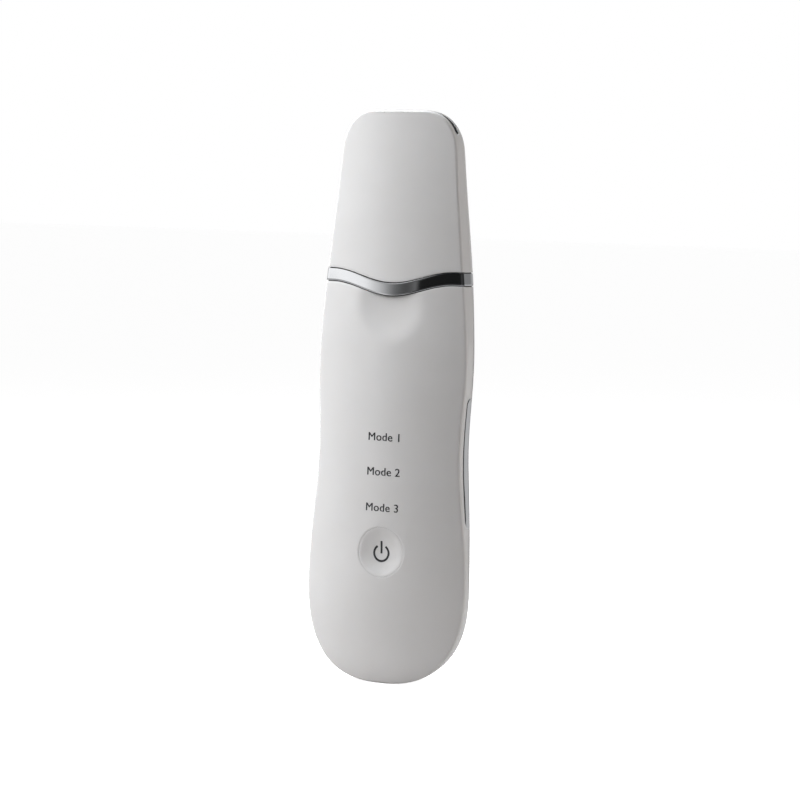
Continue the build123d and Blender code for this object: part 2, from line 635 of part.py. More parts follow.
# ---------------------------------------------------------------- board
board = box(-BOARD_HALF_W, BOARD_HALF_W, BOARD_Y0, BOARD_Y1, BOARD_Z0, BOARD_Z1)
board = board.fillet(2.0, board.edges().filter_by(Axis.Y).group_by(Axis.Z)[-1])
board = board & envelope(2.4)
for x, z in SCREW_XZ[:2]:
    board = board - cyl_y(x, z, 3.0, -6, 0)
for x, z in BOARD_SCREW_XZ:
    board = board - cyl_y(x, z, 1.0, -6, 0)
write_part("main_board", one(board))

# ---------------------------------------------------------------- front of the board: mode lights
LED_Z = (71.4, 61.4, 51.1)
SHIELD_FRONT_Y = -6.85

write_part("mode_leds", *[box(-0.8, 0.8, BOARD_Y0 - 0.6, BOARD_Y0, z - 0.4, z + 0.4)
                          for z in LED_Z])
shield = box(-6, 6, SHIELD_FRONT_Y, BOARD_Y0, 47.4, 75.2)
for z in LED_Z:
    shield = shield - loft([
        Plane(origin=(0, BOARD_Y0, z), z_dir=(0, -1, 0)) * Rectangle(3.4, 2.0),
        Plane(origin=(0, SHIELD_FRONT_Y, z), z_dir=(0, -1, 0)) * Rectangle(10.4, 3.6)])
write_part("light_shield", one(shield))


# ---------------------------------------------------------------- rear of the board
def on_board(x0, x1, h0, h1, z0, z1):
    """Box between heights h0 and h1 behind the board's rear face."""
    return box(x0, x1, BOARD_Y1 + h0, BOARD_Y1 + h1, z0, z1)


def controller_chip():
    chip = on_board(-6.6, -1.4, 0.15, 1.55, 19.0, 28.0)
    chip = chip.chamfer(0.25, None, chip.edges().group_by(Axis.Y)[-1])
    for i in range(7):
        z = 19.9 + i * 1.2
        z0, z1 = z - 0.2, z + 0.2
        # each leg: x inside the chip, at the bend and at the foot's end
        for inner, bend, foot in ((-6.5, -7.5, -7.9), (-1.5, -0.5, -0.1)):
            chip = chip + on_board(inner, bend, 0.55, 0.75, z0, z1)
            chip = chip + on_board(bend - 0.1, bend + 0.1, 0, 0.75, z0, z1)
            chip = chip + on_board(bend, foot, 0, 0.2, z0, z1)
    return one(chip)


write_part("controller_chip", controller_chip())

CORE_Y0, CORE_Y1 = BOARD_Y1 + 0.4, BOARD_Y1 + 5.4
# window frame with a bar across
core = (box(-5, 5, CORE_Y0, CORE_Y1, 66.6, 77.2)
        - box(-3.4, 3.4, CORE_Y0 - 1, CORE_Y1 + 1, 68.0, 75.8))
core = core + box(-5, 5, CORE_Y0 + 1.5, CORE_Y1 - 1.5, 70.6, 73.2)
write_part("transformer_core", one(core))

WINDING_Y0, WINDING_Y1 = CORE_Y0 + 0.1, CORE_Y1 - 0.1
winding = (box(-3.3, 3.3, WINDING_Y0, WINDING_Y1, 68.6, 75.2)
           - box(-6, 6, CORE_Y0 + 1.48, CORE_Y1 - 1.48, 70.58, 73.22))
winding = winding.fillet(0.7, winding.edges().filter_by(Axis.X).filter_by(
    lambda e: abs(e.center().Y - WINDING_Y0) < 0.05 or abs(e.center().Y - WINDING_Y1) < 0.05))
write_part("transformer_winding", one(winding))


def inductor_cyl(r, h0, h1):
    return cyl_y(9.6, 69.0, r, BOARD_Y1 + h0, BOARD_Y1 + h1)


write_part("inductor_core", one(inductor_cyl(3.0, 0, 0.8) + inductor_cyl(1.5, 0, 3.8)
                                + inductor_cyl(3.0, 3.0, 3.8)))
write_part("inductor_coil", one(inductor_cyl(2.8, 0.8, 3.0) - inductor_cyl(1.5, 0, 4)))


def driver_transistor(z):
    body = on_board(-12.4, -8.6, 0.1, 1.5, z - 1.6, z + 1.6)
    body = body.chamfer(0.2, None, body.edges().group_by(Axis.Y)[-1])
    body = body + on_board(-13.6, -12.3, 0, 0.25, z - 1.2, z + 1.2)
    for offset in (-1.1, 0, 1.1):
        body = body + on_board(-8.7, -7.4, 0, 0.25, z + offset - 0.25, z + offset + 0.25)
    return one(body)


write_part("driver_transistors", driver_transistor(60.5), driver_transistor(69.0))

# small components: (centre x, centre z, x size, z size, height)
CHIPS = [(3, 20, 1.6, 0.8, 0.8), (3, 22.5, 1.6, 0.8, 0.8), (3, 25, 2.0, 1.25, 1.0),
         (6.4, 13, 3.2, 1.6, 1.2), (-6.4, 13, 3.2, 1.6, 1.2), (-9.5, 28, 1.0, 2.0, 0.6),
         (7, 30, 1.6, 0.8, 0.6), (7, 33, 1.6, 0.8, 0.6), (-7, 34, 2.0, 1.25, 0.9),
         (0, 44, 3.0, 1.5, 1.2), (-6, 48, 1.6, 0.8, 0.6), (6, 48, 1.6, 0.8, 0.6),
         (-11, 56, 1.25, 2.0, 0.9), (11, 56, 1.25, 2.0, 0.9), (0, 58, 1.6, 0.8, 0.6),
         (-3, 14.5, 1.2, 2.2, 1.0)]
write_part("chip_components", *[on_board(x - w / 2, x + w / 2, 0, t, z - h / 2, z + h / 2)
                                for x, z, w, h, t in CHIPS])


# charging socket in the lower end
def bevel_front(block, size):
    """Chamfer the two upright edges that face the board."""
    return block.chamfer(size, None, block.edges().filter_by(Axis.Z).group_by(Axis.Y)[0])


socket = bevel_front(box(-3.75, 3.75, BOARD_Y1, -0.2, 1.2, 6.8), 0.8)
socket_mouth = bevel_front(box(-3.45, 3.45, BOARD_Y1 + 0.3, -0.5, 0.0, 6.5), 0.7)
write_part("socket_shell", one(socket - socket_mouth))
write_part("socket_tongue", box(-2.4, 2.4, -1.75, -1.15, 2.2, 6.5))

# ---------------------------------------------------------------- cell and leads
CELL_W, CELL_D, CELL_H = 20.0, 6.0, 35.0
CELL_Z0, CELL_Y0 = 30.0, 0.7
CELL_Y1 = CELL_Y0 + CELL_D

cell = box(-CELL_W / 2, CELL_W / 2, CELL_Y0, CELL_Y1, CELL_Z0, CELL_Z0 + CELL_H)
cell = cell.fillet(2.2, cell.edges().filter_by(Axis.Z))
cell = cell.fillet(0.6, cell.edges().group_by(Axis.Z)[0])
cell = cell.fillet(0.6, cell.edges().group_by(Axis.Z)[-1])
write_part("battery_cell", one(cell))
write_part("battery_foam", box(-7, 7, CELL_Y1, 7.2, 36, 59))

# from the cell's lower end to the board
battery_leads = [wire_run([(x, 2.4, 29.9), (x + 0.4, 1.2, 28.4), (x + 1.2, -1.2, 27.2),
                           (x + 2.0, BOARD_Y1 + 0.02, 26.6)], 0.45, (0, 0, -1), (0, -1, 0))
                 for x in (4.0, 7.0)]
write_part("battery_leads", *battery_leads)

# from the piezo terminals down to the board, right then left: (x, y, z)
TRANSDUCER_LEADS = [
    [(8.6, AXIS_Y, 93.0), (9.2, AXIS_Y - 0.4, 88.0), (8.8, -1.0, 82.0), (7.5, -2.2, 78.6),
     (7.0, -2.5, 76.6)],
    [(-8.6, AXIS_Y, 93.6), (-9.2, AXIS_Y - 0.4, 88.0), (-8.8, -1.0, 83.0), (-6.6, -2.2, 78.9),
     (-6.2, -2.5, 77.4)]]
write_part("transducer_leads", *[wire_run(points, 0.4, (0, 0, -1), (0, -1, -0.6))
                                 for points in TRANSDUCER_LEADS])

# ---------------------------------------------------------------- side electrodes, springs
skin = envelope(-ELEC_PROUD) - mid_wall
for name, side in (("left", -1), ("right", 1)):
    electrode = one(skin & electrode_tool(side))
    electrode = electrode + cyl_x(ELEC_MID_Y, ELEC_PIN_Z, 1.1, 20.0 * side, 22.0 * side)
    write_part(name + "_electrode", one(electrode))

# bent strip from the board to the electrode pin, right-hand side: (x, y)
SPRING = [(12.9, -2.9), (16.0, -2.9), (17.6, -2.3), (19.3, -2.3), (19.98, -1.9), (19.98, -0.6),
          (19.76, -0.6), (19.76, -1.8), (19.2, -2.08), (17.5, -2.08), (15.9, -2.68),
          (12.9, -2.68)]
SPRING_Z0, SPRING_W = 63.8, 2.4
springs = []
for side in (-1, 1):
    points = [Vector(side * x, y, SPRING_Z0) for x, y in SPRING]
    rim = Wire([Edge.make_line(a, b) for a, b in zip(points, points[1:] + points[:1])])
    springs.append(Solid.extrude(Face(rim), Vector(0, 0, SPRING_W)))
write_part("contact_springs", *springs)

# ---------------------------------------------------------------- fasteners
write_part("board_screws", *[
    cross_screw(x, z, shaft_r=BOARD_SCREW_R, tip_y=-5.4, seat_y=BOARD_Y1, head_r=1.75,
                head_h=1.1, round_r=0.35, arm=1.1, half_slot=0.2) for x, z in BOARD_SCREW_XZ])
write_part("housing_screws", *[
    cross_screw(x, z, shaft_r=SCREW_R, tip_y=-4.4, seat_y=SCREW_SEAT_Y, head_r=1.9,
                head_h=1.2, round_r=0.4, arm=1.2, half_slot=0.22) for x, z in SCREW_XZ])
write_part("screw_plugs", *[one(cyl_y(x, z, 2.27, 6.5, 14) & body_form) for x, z in SCREW_XZ])
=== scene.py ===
"""Hand-held skin device with a capped steel blade, a power key and two side electrodes.

It stands upright on z = 0 and is 165 mm tall. The key and printing face -Y (front), the
electrodes lie on the -X and +X sides. Shapes are worked out in millimetres.
"""
import json
import math

import bmesh
import bpy
import numpy as np
from mathutils import Matrix, Vector
from mathutils.bvhtree import BVHTree


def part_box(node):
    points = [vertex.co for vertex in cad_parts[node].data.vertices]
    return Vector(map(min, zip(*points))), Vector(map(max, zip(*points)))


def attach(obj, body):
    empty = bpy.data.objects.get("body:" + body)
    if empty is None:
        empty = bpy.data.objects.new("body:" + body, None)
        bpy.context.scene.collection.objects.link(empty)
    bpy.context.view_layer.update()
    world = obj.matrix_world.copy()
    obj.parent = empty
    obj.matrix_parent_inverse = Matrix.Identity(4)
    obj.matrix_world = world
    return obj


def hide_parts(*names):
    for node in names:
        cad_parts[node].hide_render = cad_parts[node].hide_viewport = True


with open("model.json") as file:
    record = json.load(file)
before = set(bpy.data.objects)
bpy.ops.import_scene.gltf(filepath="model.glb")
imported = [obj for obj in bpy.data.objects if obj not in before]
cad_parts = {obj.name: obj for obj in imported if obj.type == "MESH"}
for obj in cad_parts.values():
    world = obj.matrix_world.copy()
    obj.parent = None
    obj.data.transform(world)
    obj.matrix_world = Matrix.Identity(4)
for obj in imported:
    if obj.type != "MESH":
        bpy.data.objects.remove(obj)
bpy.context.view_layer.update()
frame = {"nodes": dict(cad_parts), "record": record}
NODES = frame["nodes"]
MM = 0.001

# ------------------------------------------------------------------ outer form, millimetres
# silhouette seen from the front: superellipse foot, splined sides, superellipse top corners
LENGTH, MAX_HALF_W = 165.0, 25.45
BOTTOM_H, BOTTOM_POWER = 29.0, 2.5
TOP_CORNER_Z, TOP_FLAT, TOP_POWER, TOP_SLOPE = 153.5, 7.5, 2.25, -0.086
LOW_TRIM, TOP_TRIM = 0.135, 0.053       # the outline stops short of z = 0 and LENGTH by this
# (z, half width)
SIDE = [(29, 25.45), (36, 25.2), (47, 24.25), (57, 23.2), (67, 22.68), (77, 23.0), (87, 23.6),
        (95, 23.68), (105, 23.1), (117, 21.95), (131, 20.5), (145, 19.12), (157, 18.1)]
# (z, y of the front face on the centre line)
FRONT = [(-6, -6.15), (0, -7.05), (10, -8.15), (20, -8.7), (38, -9.05), (70, -8.95),
         (100, -8.65), (115, -8.35), (140, -7.75), (165, -7.05), (171, -6.85)]
# (z, radius of the front face across x)
CROWN_R = [(-6, 85), (38, 85), (67, 88), (100, 100), (113, 110), (150, 120), (171, 120)]
# (z, how far the flank draws in from crease to rear)
RUN_IN = [(0, 7.6), (12, 8.8), (27, 11.2), (38, 11.3), (56, 10.6), (85, 11.0), (117, 10.0),
          (165, 6.6)]
# (z, share of the upright flank section; the leaning section makes up the rest)
FLANK_MIX = [(0, 0.0), (34, 0.0), (43, 0.3), (49, 0.55), (55, 0.8), (60, 0.88), (66, 0.8),
             (72, 0.68), (86, 0.5), (100, 0.5), (107, 0.6), (113, 0.75), (120, 0.9),
             (128, 1.0), (171, 1.0)]
UPRIGHT_SHARE = 0.24                    # depth share at which the upright section starts to turn
Y_REAR, Y_CREASE, Y_PART = 9.05, -5.55, 2.0
DEPTH = Y_REAR - Y_CREASE
LEAN = math.radians(8)
LEAN_SIN, LEAN_COS = math.sin(LEAN), math.cos(LEAN)
CAP_TAPER, CAP_TAPER_Z, CAP_TAPER_L = 0.315, 117.0, 48.0
WALL, CREASE_R = 1.8, 0.8
PART_GROOVE = 0.1                       # depth and half width of the parting groove

# neck band, its lower and upper edge dipping in a wave about the centre line
BAND_Z0, BAND_Z1, BAND_DIP, BAND_HALF = 115.3, 119.3, 3.6, 19.5
BAND_SEAT = 0.24                        # gap between the band and each shell
BODY_WAVE_FROM, CAP_WAVE_TO, WAVE_MARGIN = 96.0, 134, 0.6
# rolled shell edges at the band: (inset, rise towards the band)
RIM_ROLL, RIM_EDGE = (0.03, 0.05), (0.15, 0.0)

# slot in the foot: its centre y, end radius, and arc length from the centre line
FOOT_SLOT_Y, FOOT_SLOT_R, FOOT_SLOT_FULL = -1.55, 1.6, 3.1
FOOT_SLOT_END = FOOT_SLOT_FULL + FOOT_SLOT_R
# slot over the top of the cap
CAP_SLOT_Y0, CAP_SLOT_Y1, CAP_SLOT_END_Z = -4.7, -2.2, 158.2
CAP_SLOT_Y = (CAP_SLOT_Y0 + CAP_SLOT_Y1) / 2
CAP_SLOT_R = (CAP_SLOT_Y1 - CAP_SLOT_Y0) / 2

KEY_Z, KEY_R, KEY_GAP, KEY_DISH = 38.2, 7.2, 0.03, 0.8
DISH_Z, DISH_R, DISH_DEPTH = 109.0, 9.9, 0.68
ELEC_Z0, ELEC_Z1, ELEC_Y0, ELEC_Y1 = 46.0, 83.5, -3.7, 1.0
PLUG_XZ = [(-11.0, 20.0), (11.0, 20.0), (-13.5, 97.0), (13.5, 97.0)]

# mesh divisions of a loop round the form, and of the flank stretches inside it
NCROSS, NREAR, NCORNER = 100, 40, 9
BODY_FORE, BODY_MID = 7, 8              # crease to slot, slot to parting groove
CAP_FORE = 4                            # crease to slot
FLANK_COLUMN = NCROSS - 1 + NCORNER     # first column of the right flank
BODY_SLOT_COLUMN = FLANK_COLUMN + BODY_FORE - 1
PART_COLUMN = FLANK_COLUMN + BODY_FORE + BODY_MID
CAP_SLOT_COLUMN = FLANK_COLUMN + CAP_FORE - 1
KEY_CELLS, KEY_REACH = 13, 30           # grid cells from key centre to hole, and to end of warp


# ------------------------------------------------------------------ curves of the form
def spline(table, slope0, slope1):
    """Cubic spline through a table's points, with the given slopes at its ends."""
    xs, ys = np.array(table, float).T
    count = len(xs)
    step = np.diff(xs)
    rise = np.diff(ys) / step
    matrix = np.zeros((count, count))
    target = np.zeros(count)
    matrix[0, :2] = 2 * step[0], step[0]
    matrix[-1, -2:] = step[-1], 2 * step[-1]
    target[0] = 6 * (rise[0] - slope0)
    target[-1] = 6 * (slope1 - rise[-1])
    for i in range(1, count - 1):
        matrix[i, i - 1:i + 2] = step[i - 1], 2 * (step[i - 1] + step[i]), step[i]
        target[i] = 6 * (rise[i] - rise[i - 1])
    bend = np.linalg.solve(matrix, target)

    def curve(at):
        at = np.asarray(at, float)
        i = np.clip(np.searchsorted(xs, at) - 1, 0, count - 2)
        run = at - xs[i]
        return (ys[i] + run * (rise[i] - step[i] * (2 * bend[i] + bend[i + 1]) / 6)
                + run * run * bend[i] / 2
                + run ** 3 * (bend[i + 1] - bend[i]) / (6 * step[i]))
    return curve


side_w = spline(SIDE, 0.0, -0.088)
front_y = spline(FRONT, 0.17, 0.034)
crown_r = spline(CROWN_R, 0.0, 0.0)


def smooth(start, end, value):
    share = np.clip((np.asarray(value, float) - start) / (end - start), 0, 1)
    return share * share * (3 - 2 * share)


def quarter(count):
    """Sine of evenly spaced angles from 0 to 90 degrees."""
    return np.sin(np.radians(np.linspace(0, 90, count)))


def eased(table, z):
    """Table value at z, averaged over nearby heights to round its corners."""
    zs, values = zip(*table)
    z = np.asarray(z, float)
    return sum(np.interp(z + shift, zs, values) for shift in (-6, -3, 0, 3, 6)) / 5


def soft_bowl(height, ease):
    """Positive part of height, with the edge at zero eased."""
    blend = np.maximum(ease - np.abs(height), 0) / ease
    return np.maximum(height, 0) + blend * blend * ease / 4


def flank_section(depth, z):
    """Share of RUN_IN reached at a depth share behind the crease."""
    inside = np.clip(depth, 0, 1)
    rounded = 1 - (LEAN_SIN + inside * (1 - LEAN_SIN)) ** 2
    leaning = np.where(depth < 0, depth * math.tan(LEAN) * (1 - LEAN_SIN) / LEAN_COS,
                       (LEAN_COS - np.sqrt(np.maximum(0, rounded))) / LEAN_COS)
    turn = (np.maximum(inside, UPRIGHT_SHARE) - UPRIGHT_SHARE) / (1 - UPRIGHT_SHARE)
    upright = np.where(depth < UPRIGHT_SHARE, 0.0, 1 - np.sqrt(np.maximum(0, 1 - turn ** 2)))
    mix = eased(FLANK_MIX, z)
    return (1 - mix) * leaning + mix * upright


def outline():
    """Dense right half of the silhouette from foot to top: points, outward normals, arc length."""
    angle = np.linspace(0, math.pi / 2, 3001)
    foot = np.c_[MAX_HALF_W * np.sin(angle) ** (2 / BOTTOM_POWER),
                 BOTTOM_H - (BOTTOM_H - LOW_TRIM) * np.cos(angle) ** (2 / BOTTOM_POWER)]
    z = np.linspace(BOTTOM_H, TOP_CORNER_Z, 4001)[1:]
    side = np.c_[side_w(z), z]
    angle = np.linspace(0, math.pi / 2, 2001)[1:]
    top_z = LENGTH - TOP_TRIM
    z = TOP_CORNER_Z + (top_z - TOP_CORNER_Z) * np.sin(angle) ** (2 / TOP_POWER)
    reach = side_w(TOP_CORNER_Z) + TOP_SLOPE * (z - TOP_CORNER_Z)
    corner = np.c_[TOP_FLAT + (reach - TOP_FLAT) * np.cos(angle) ** (2 / TOP_POWER), z]
    x = np.linspace(TOP_FLAT, 0, 201)[1:]
    top = np.c_[x, np.full_like(x, top_z)]
    rough = np.vstack([foot, side, corner, top])
    travelled = np.r_[0, np.cumsum(np.hypot(*np.diff(rough, axis=0).T))]
    arcs = np.linspace(0, travelled[-1], 6001)
    points = np.c_[np.interp(arcs, travelled, rough[:, 0]),
                   np.interp(arcs, travelled, rough[:, 1])]
    # mirror at both ends, so that the smoothing keeps the centre tangents level
    pad = 40
    mirror = (-1, 1)
    padded = np.vstack([points[pad:0:-1] * mirror, points, points[-2:-pad - 2:-1] * mirror])
    kernel = np.hanning(41)
    kernel /= kernel.sum()
    soft = np.c_[np.convolve(padded[:, 0], kernel, "same"),
                 np.convolve(padded[:, 1], kernel, "same")][pad:-pad]
    tangent = np.gradient(np.vstack([soft[1] * mirror, soft, soft[-2] * mirror]), axis=0)[1:-1]
    tangent /= np.linalg.norm(tangent, axis=1)[:, None]
    return points, np.c_[tangent[:, 1], -tangent[:, 0]], arcs


OUT_POINTS, OUT_NORMALS, OUT_ARCS = outline()


def on_outline(arc):
    """x, z and unit normal (x, z) of the silhouette at an arc length."""
    x, z, nx, nz = (np.interp(arc, OUT_ARCS, values)
                    for values in (*OUT_POINTS.T, *OUT_NORMALS.T))
    size = np.hypot(nx, nz)
    return x, z, nx / size, nz / size


def height_at(arc):
    return float(on_outline(arc)[1])


def arc_at_z(z):
    """Arc length of the outline at height z, on the rising side."""
    rising = OUT_POINTS[:, 1] < 164.5
    return float(np.interp(z, OUT_POINTS[rising, 1], OUT_ARCS[rising]))


CAP_SLOT_ARC = arc_at_z(CAP_SLOT_END_Z)


def crown(x, z, inset=0.0, dished=True):
    """y of the front face; dished adds the shallow round bowl below the band."""
    y = front_y(z) + x * x / (2 * crown_r(z))
    if dished:
        bowl = DISH_DEPTH * (1 - (x * x + (z - DISH_Z) ** 2) / DISH_R ** 2)
        y = y + soft_bowl(bowl, 0.28)
    return y + inset


def taper(z):
    """Share of the depth left in the cap at height z."""
    return 1 - CAP_TAPER * (z - CAP_TAPER_Z) / CAP_TAPER_L


def flank(arc, depth, inset, cap):
    """Point on the side and rear at an arc length and depth share, moved in by inset."""
    x, z, nx, nz = on_outline(arc)
    lean = np.where(depth > 0, np.clip(LEAN_SIN + depth * (1 - LEAN_SIN), 0, 1), 0.0)
    move = eased(RUN_IN, z) * flank_section(depth, z) + inset * np.sqrt(1 - lean * lean)
    z_in = z - nz * move
    y = Y_CREASE + (DEPTH * depth - inset * lean) * (taper(z_in) if cap else 1.0)
    return x - nx * move, y, z_in


def depth_at_y(y, inset, scale=1.0):
    """Depth share at which the flank reaches y; scale is the cap's taper."""
    return ((y - Y_CREASE) / scale + inset * LEAN_SIN) / (DEPTH - inset * (1 - LEAN_SIN))


def wave(base, x):
    """Height of the band's wavy line whose outer ends lie at base."""
    x = np.asarray(x, float)
    dip = BAND_DIP * np.cos(math.pi * x / (2 * BAND_HALF)) ** 2
    return np.where(np.abs(x) < BAND_HALF, base - dip, base)


# ------------------------------------------------------------------ building objects
def place(name, mesh, body, slot, materials=None, hides=()):
    """Object of a mesh, with its materials, the body it rides on and the pieces it hides."""
    obj = bpy.data.objects.new(name, mesh)
    bpy.context.scene.collection.objects.link(obj)
    for material in materials or [MATERIALS[slot]]:
        mesh.materials.append(material)
    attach(obj, body)
    if hides:
        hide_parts(*hides)
    return obj


def make(name, verts, faces, body, slot, materials=None, hides=(), angle=35, merge=2e-6):
    """Smooth-shaded object from millimetre vertices; merge is the welding distance in metres."""
    mesh = bpy.data.meshes.new(name)
    mesh.from_pydata([tuple(v) for v in np.asarray(verts) * MM], [], faces)
    bm = bmesh.new()
    bm.from_mesh(mesh)
    bmesh.ops.remove_doubles(bm, verts=bm.verts, dist=merge)
    bmesh.ops.dissolve_degenerate(bm, edges=bm.edges, dist=1e-7)
    bmesh.ops.recalc_face_normals(bm, faces=bm.faces)
    bm.to_mesh(mesh)
    bm.free()
    mesh.shade_smooth()
    mesh.set_sharp_from_angle(angle=math.radians(angle))
    return place(name, mesh, body, slot, materials, hides)


def stitch(first, second):
    """Quads between two closed runs of equally many vertex numbers."""
    count = len(first)
    return [(first[i], first[(i + 1) % count], second[(i + 1) % count], second[i])
            for i in range(count)]


def flip(quad):
    return quad[0], quad[3], quad[2], quad[1]


class Shell:
    """Vertices and faces of two matching grids; outer skin numbered first, columns wrap."""

    def __init__(self, outer, inner):
        self.rows, self.columns = outer.shape[:2]
        self.verts = list(np.vstack([outer.reshape(-1, 3), inner.reshape(-1, 3)]))

    def outer(self, i, j):
        return i * self.columns + j % self.columns

    def inner(self, i, j):
        return self.rows * self.columns + self.outer(i, j)

    def cell(self, i, j):
        """The outer and the inner quad of one grid cell."""
        corners = (i, j), (i, j + 1), (i + 1, j + 1), (i + 1, j)
        return [tuple(self.outer(*c) for c in corners),
                flip([self.inner(*c) for c in corners])]

    def skins(self, columns, skip=lambda i, j: False):
        return [face for i in range(self.rows - 1) for j in columns if not skip(i, j)
                for face in self.cell(i, j)]

    def rim(self, i, columns):
        """Wall between the skins along row i."""
        return [(self.outer(i, j), self.outer(i, j + 1), self.inner(i, j + 1), self.inner(i, j))
                for j in columns]

    def side(self, j, start, end):
        """Wall between the skins along column j."""
        return [(self.outer(i, j), self.outer(i + 1, j), self.inner(i + 1, j), self.inner(i, j))
                for i in range(start, end)]

    def mirror(self, j):
        """Column on the left that matches column j on the right."""
        return self.columns - 1 - (j - (NCROSS - 1))


# ------------------------------------------------------------------ materials
def set_inputs(tree, node, inputs):
    """Give each input its value, or a link where the value is a socket."""
    for name, value in inputs.items():
        if isinstance(value, bpy.types.NodeSocket):
            tree.links.new(value, node.inputs[name])
        else:
            node.inputs[name].default_value = value


def add_node(tree, kind, inputs, **settings):
    node = tree.nodes.new(kind)
    for name, value in settings.items():
        setattr(node, name, value)
    set_inputs(tree, node, inputs)
    return node


def new_material(name):
    """Material with a Principled shader: also its tree, shader and object coordinates."""
    material = bpy.data.materials.new(name)
    material.use_nodes = True
    tree = material.node_tree
    tree.nodes.clear()
    shader = add_node(tree, "ShaderNodeBsdfPrincipled", {})
    add_node(tree, "ShaderNodeOutputMaterial", {0: shader.outputs[0]})
    coords = add_node(tree, "ShaderNodeTexCoord", {})
    return material, tree, shader, coords.outputs["Object"]


def noise(tree, coords, scale, detail=3.0, stretch=None):
    if stretch:
        mapping = add_node(tree, "ShaderNodeMapping", {0: coords, "Scale": stretch})
        coords = mapping.outputs[0]
    return add_node(tree, "ShaderNodeTexNoise", {
        "Vector": coords, "Scale": scale, "Detail": detail}).outputs["Fac"]


def ramp(tree, source, stops):
    """Colour ramp with stops of (position, rgb)."""
    node = add_node(tree, "ShaderNodeValToRGB", {0: source})
    elements = node.color_ramp.elements
    while len(elements) < len(stops):
        elements.new(0.5)
    for element, (position, color) in zip(elements, stops):
        element.position = position
        element.color = (*color, 1)
    return node.outputs[0]


def spread(tree, source, low, high, start=0.0, end=1.0):
    """Map start..end to low..high."""
    return add_node(tree, "ShaderNodeMapRange", {
        0: source, "From Min": start, "From Max": end,
        "To Min": low, "To Max": high}).outputs[0]


def mix(tree, factor, first, second, blend="MIX"):
    return add_node(tree, "ShaderNodeMix", {"Factor": factor, "A": first, "B": second},
                    data_type="RGBA", blend_type=blend).outputs["Result"]


def bump(tree, height, strength, distance):
    return add_node(tree, "ShaderNodeBump", {
        "Height": height, "Strength": strength, "Distance": distance}).outputs[0]


def surface(name, color0, color1, scale, roughness, bumps, metallic=0.0, coat=0.0,
            stretch=None, aniso=0.0, sss=0.0):
    """General finish: two colours mixed by noise, a roughness range and a fine bump."""
    material, tree, shader, coords = new_material(name)
    tone = noise(tree, coords, scale, stretch=stretch)
    wear = noise(tree, coords, scale * 2.7, detail=4.0, stretch=stretch)
    bump_scale, strength, distance = bumps
    grain = noise(tree, coords, bump_scale, stretch=stretch)
    set_inputs(tree, shader, {
        "Base Color": ramp(tree, tone, [(0.3, color0), (0.7, color1)]),
        "Roughness": spread(tree, wear, *roughness),
        "Metallic": metallic,
        "IOR": 1.47,
        "Coat Weight": coat,
        "Coat Roughness": 0.06,
        "Coat IOR": 1.5,
        "Anisotropic": aniso,
        "Normal": bump(tree, grain, strength, distance),
    })
    if sss:
        set_inputs(tree, shader, {
            "Subsurface Weight": sss,
            "Subsurface Radius": (0.0012, 0.001, 0.0008),
            "Subsurface Scale": 1.0,
        })
    return material


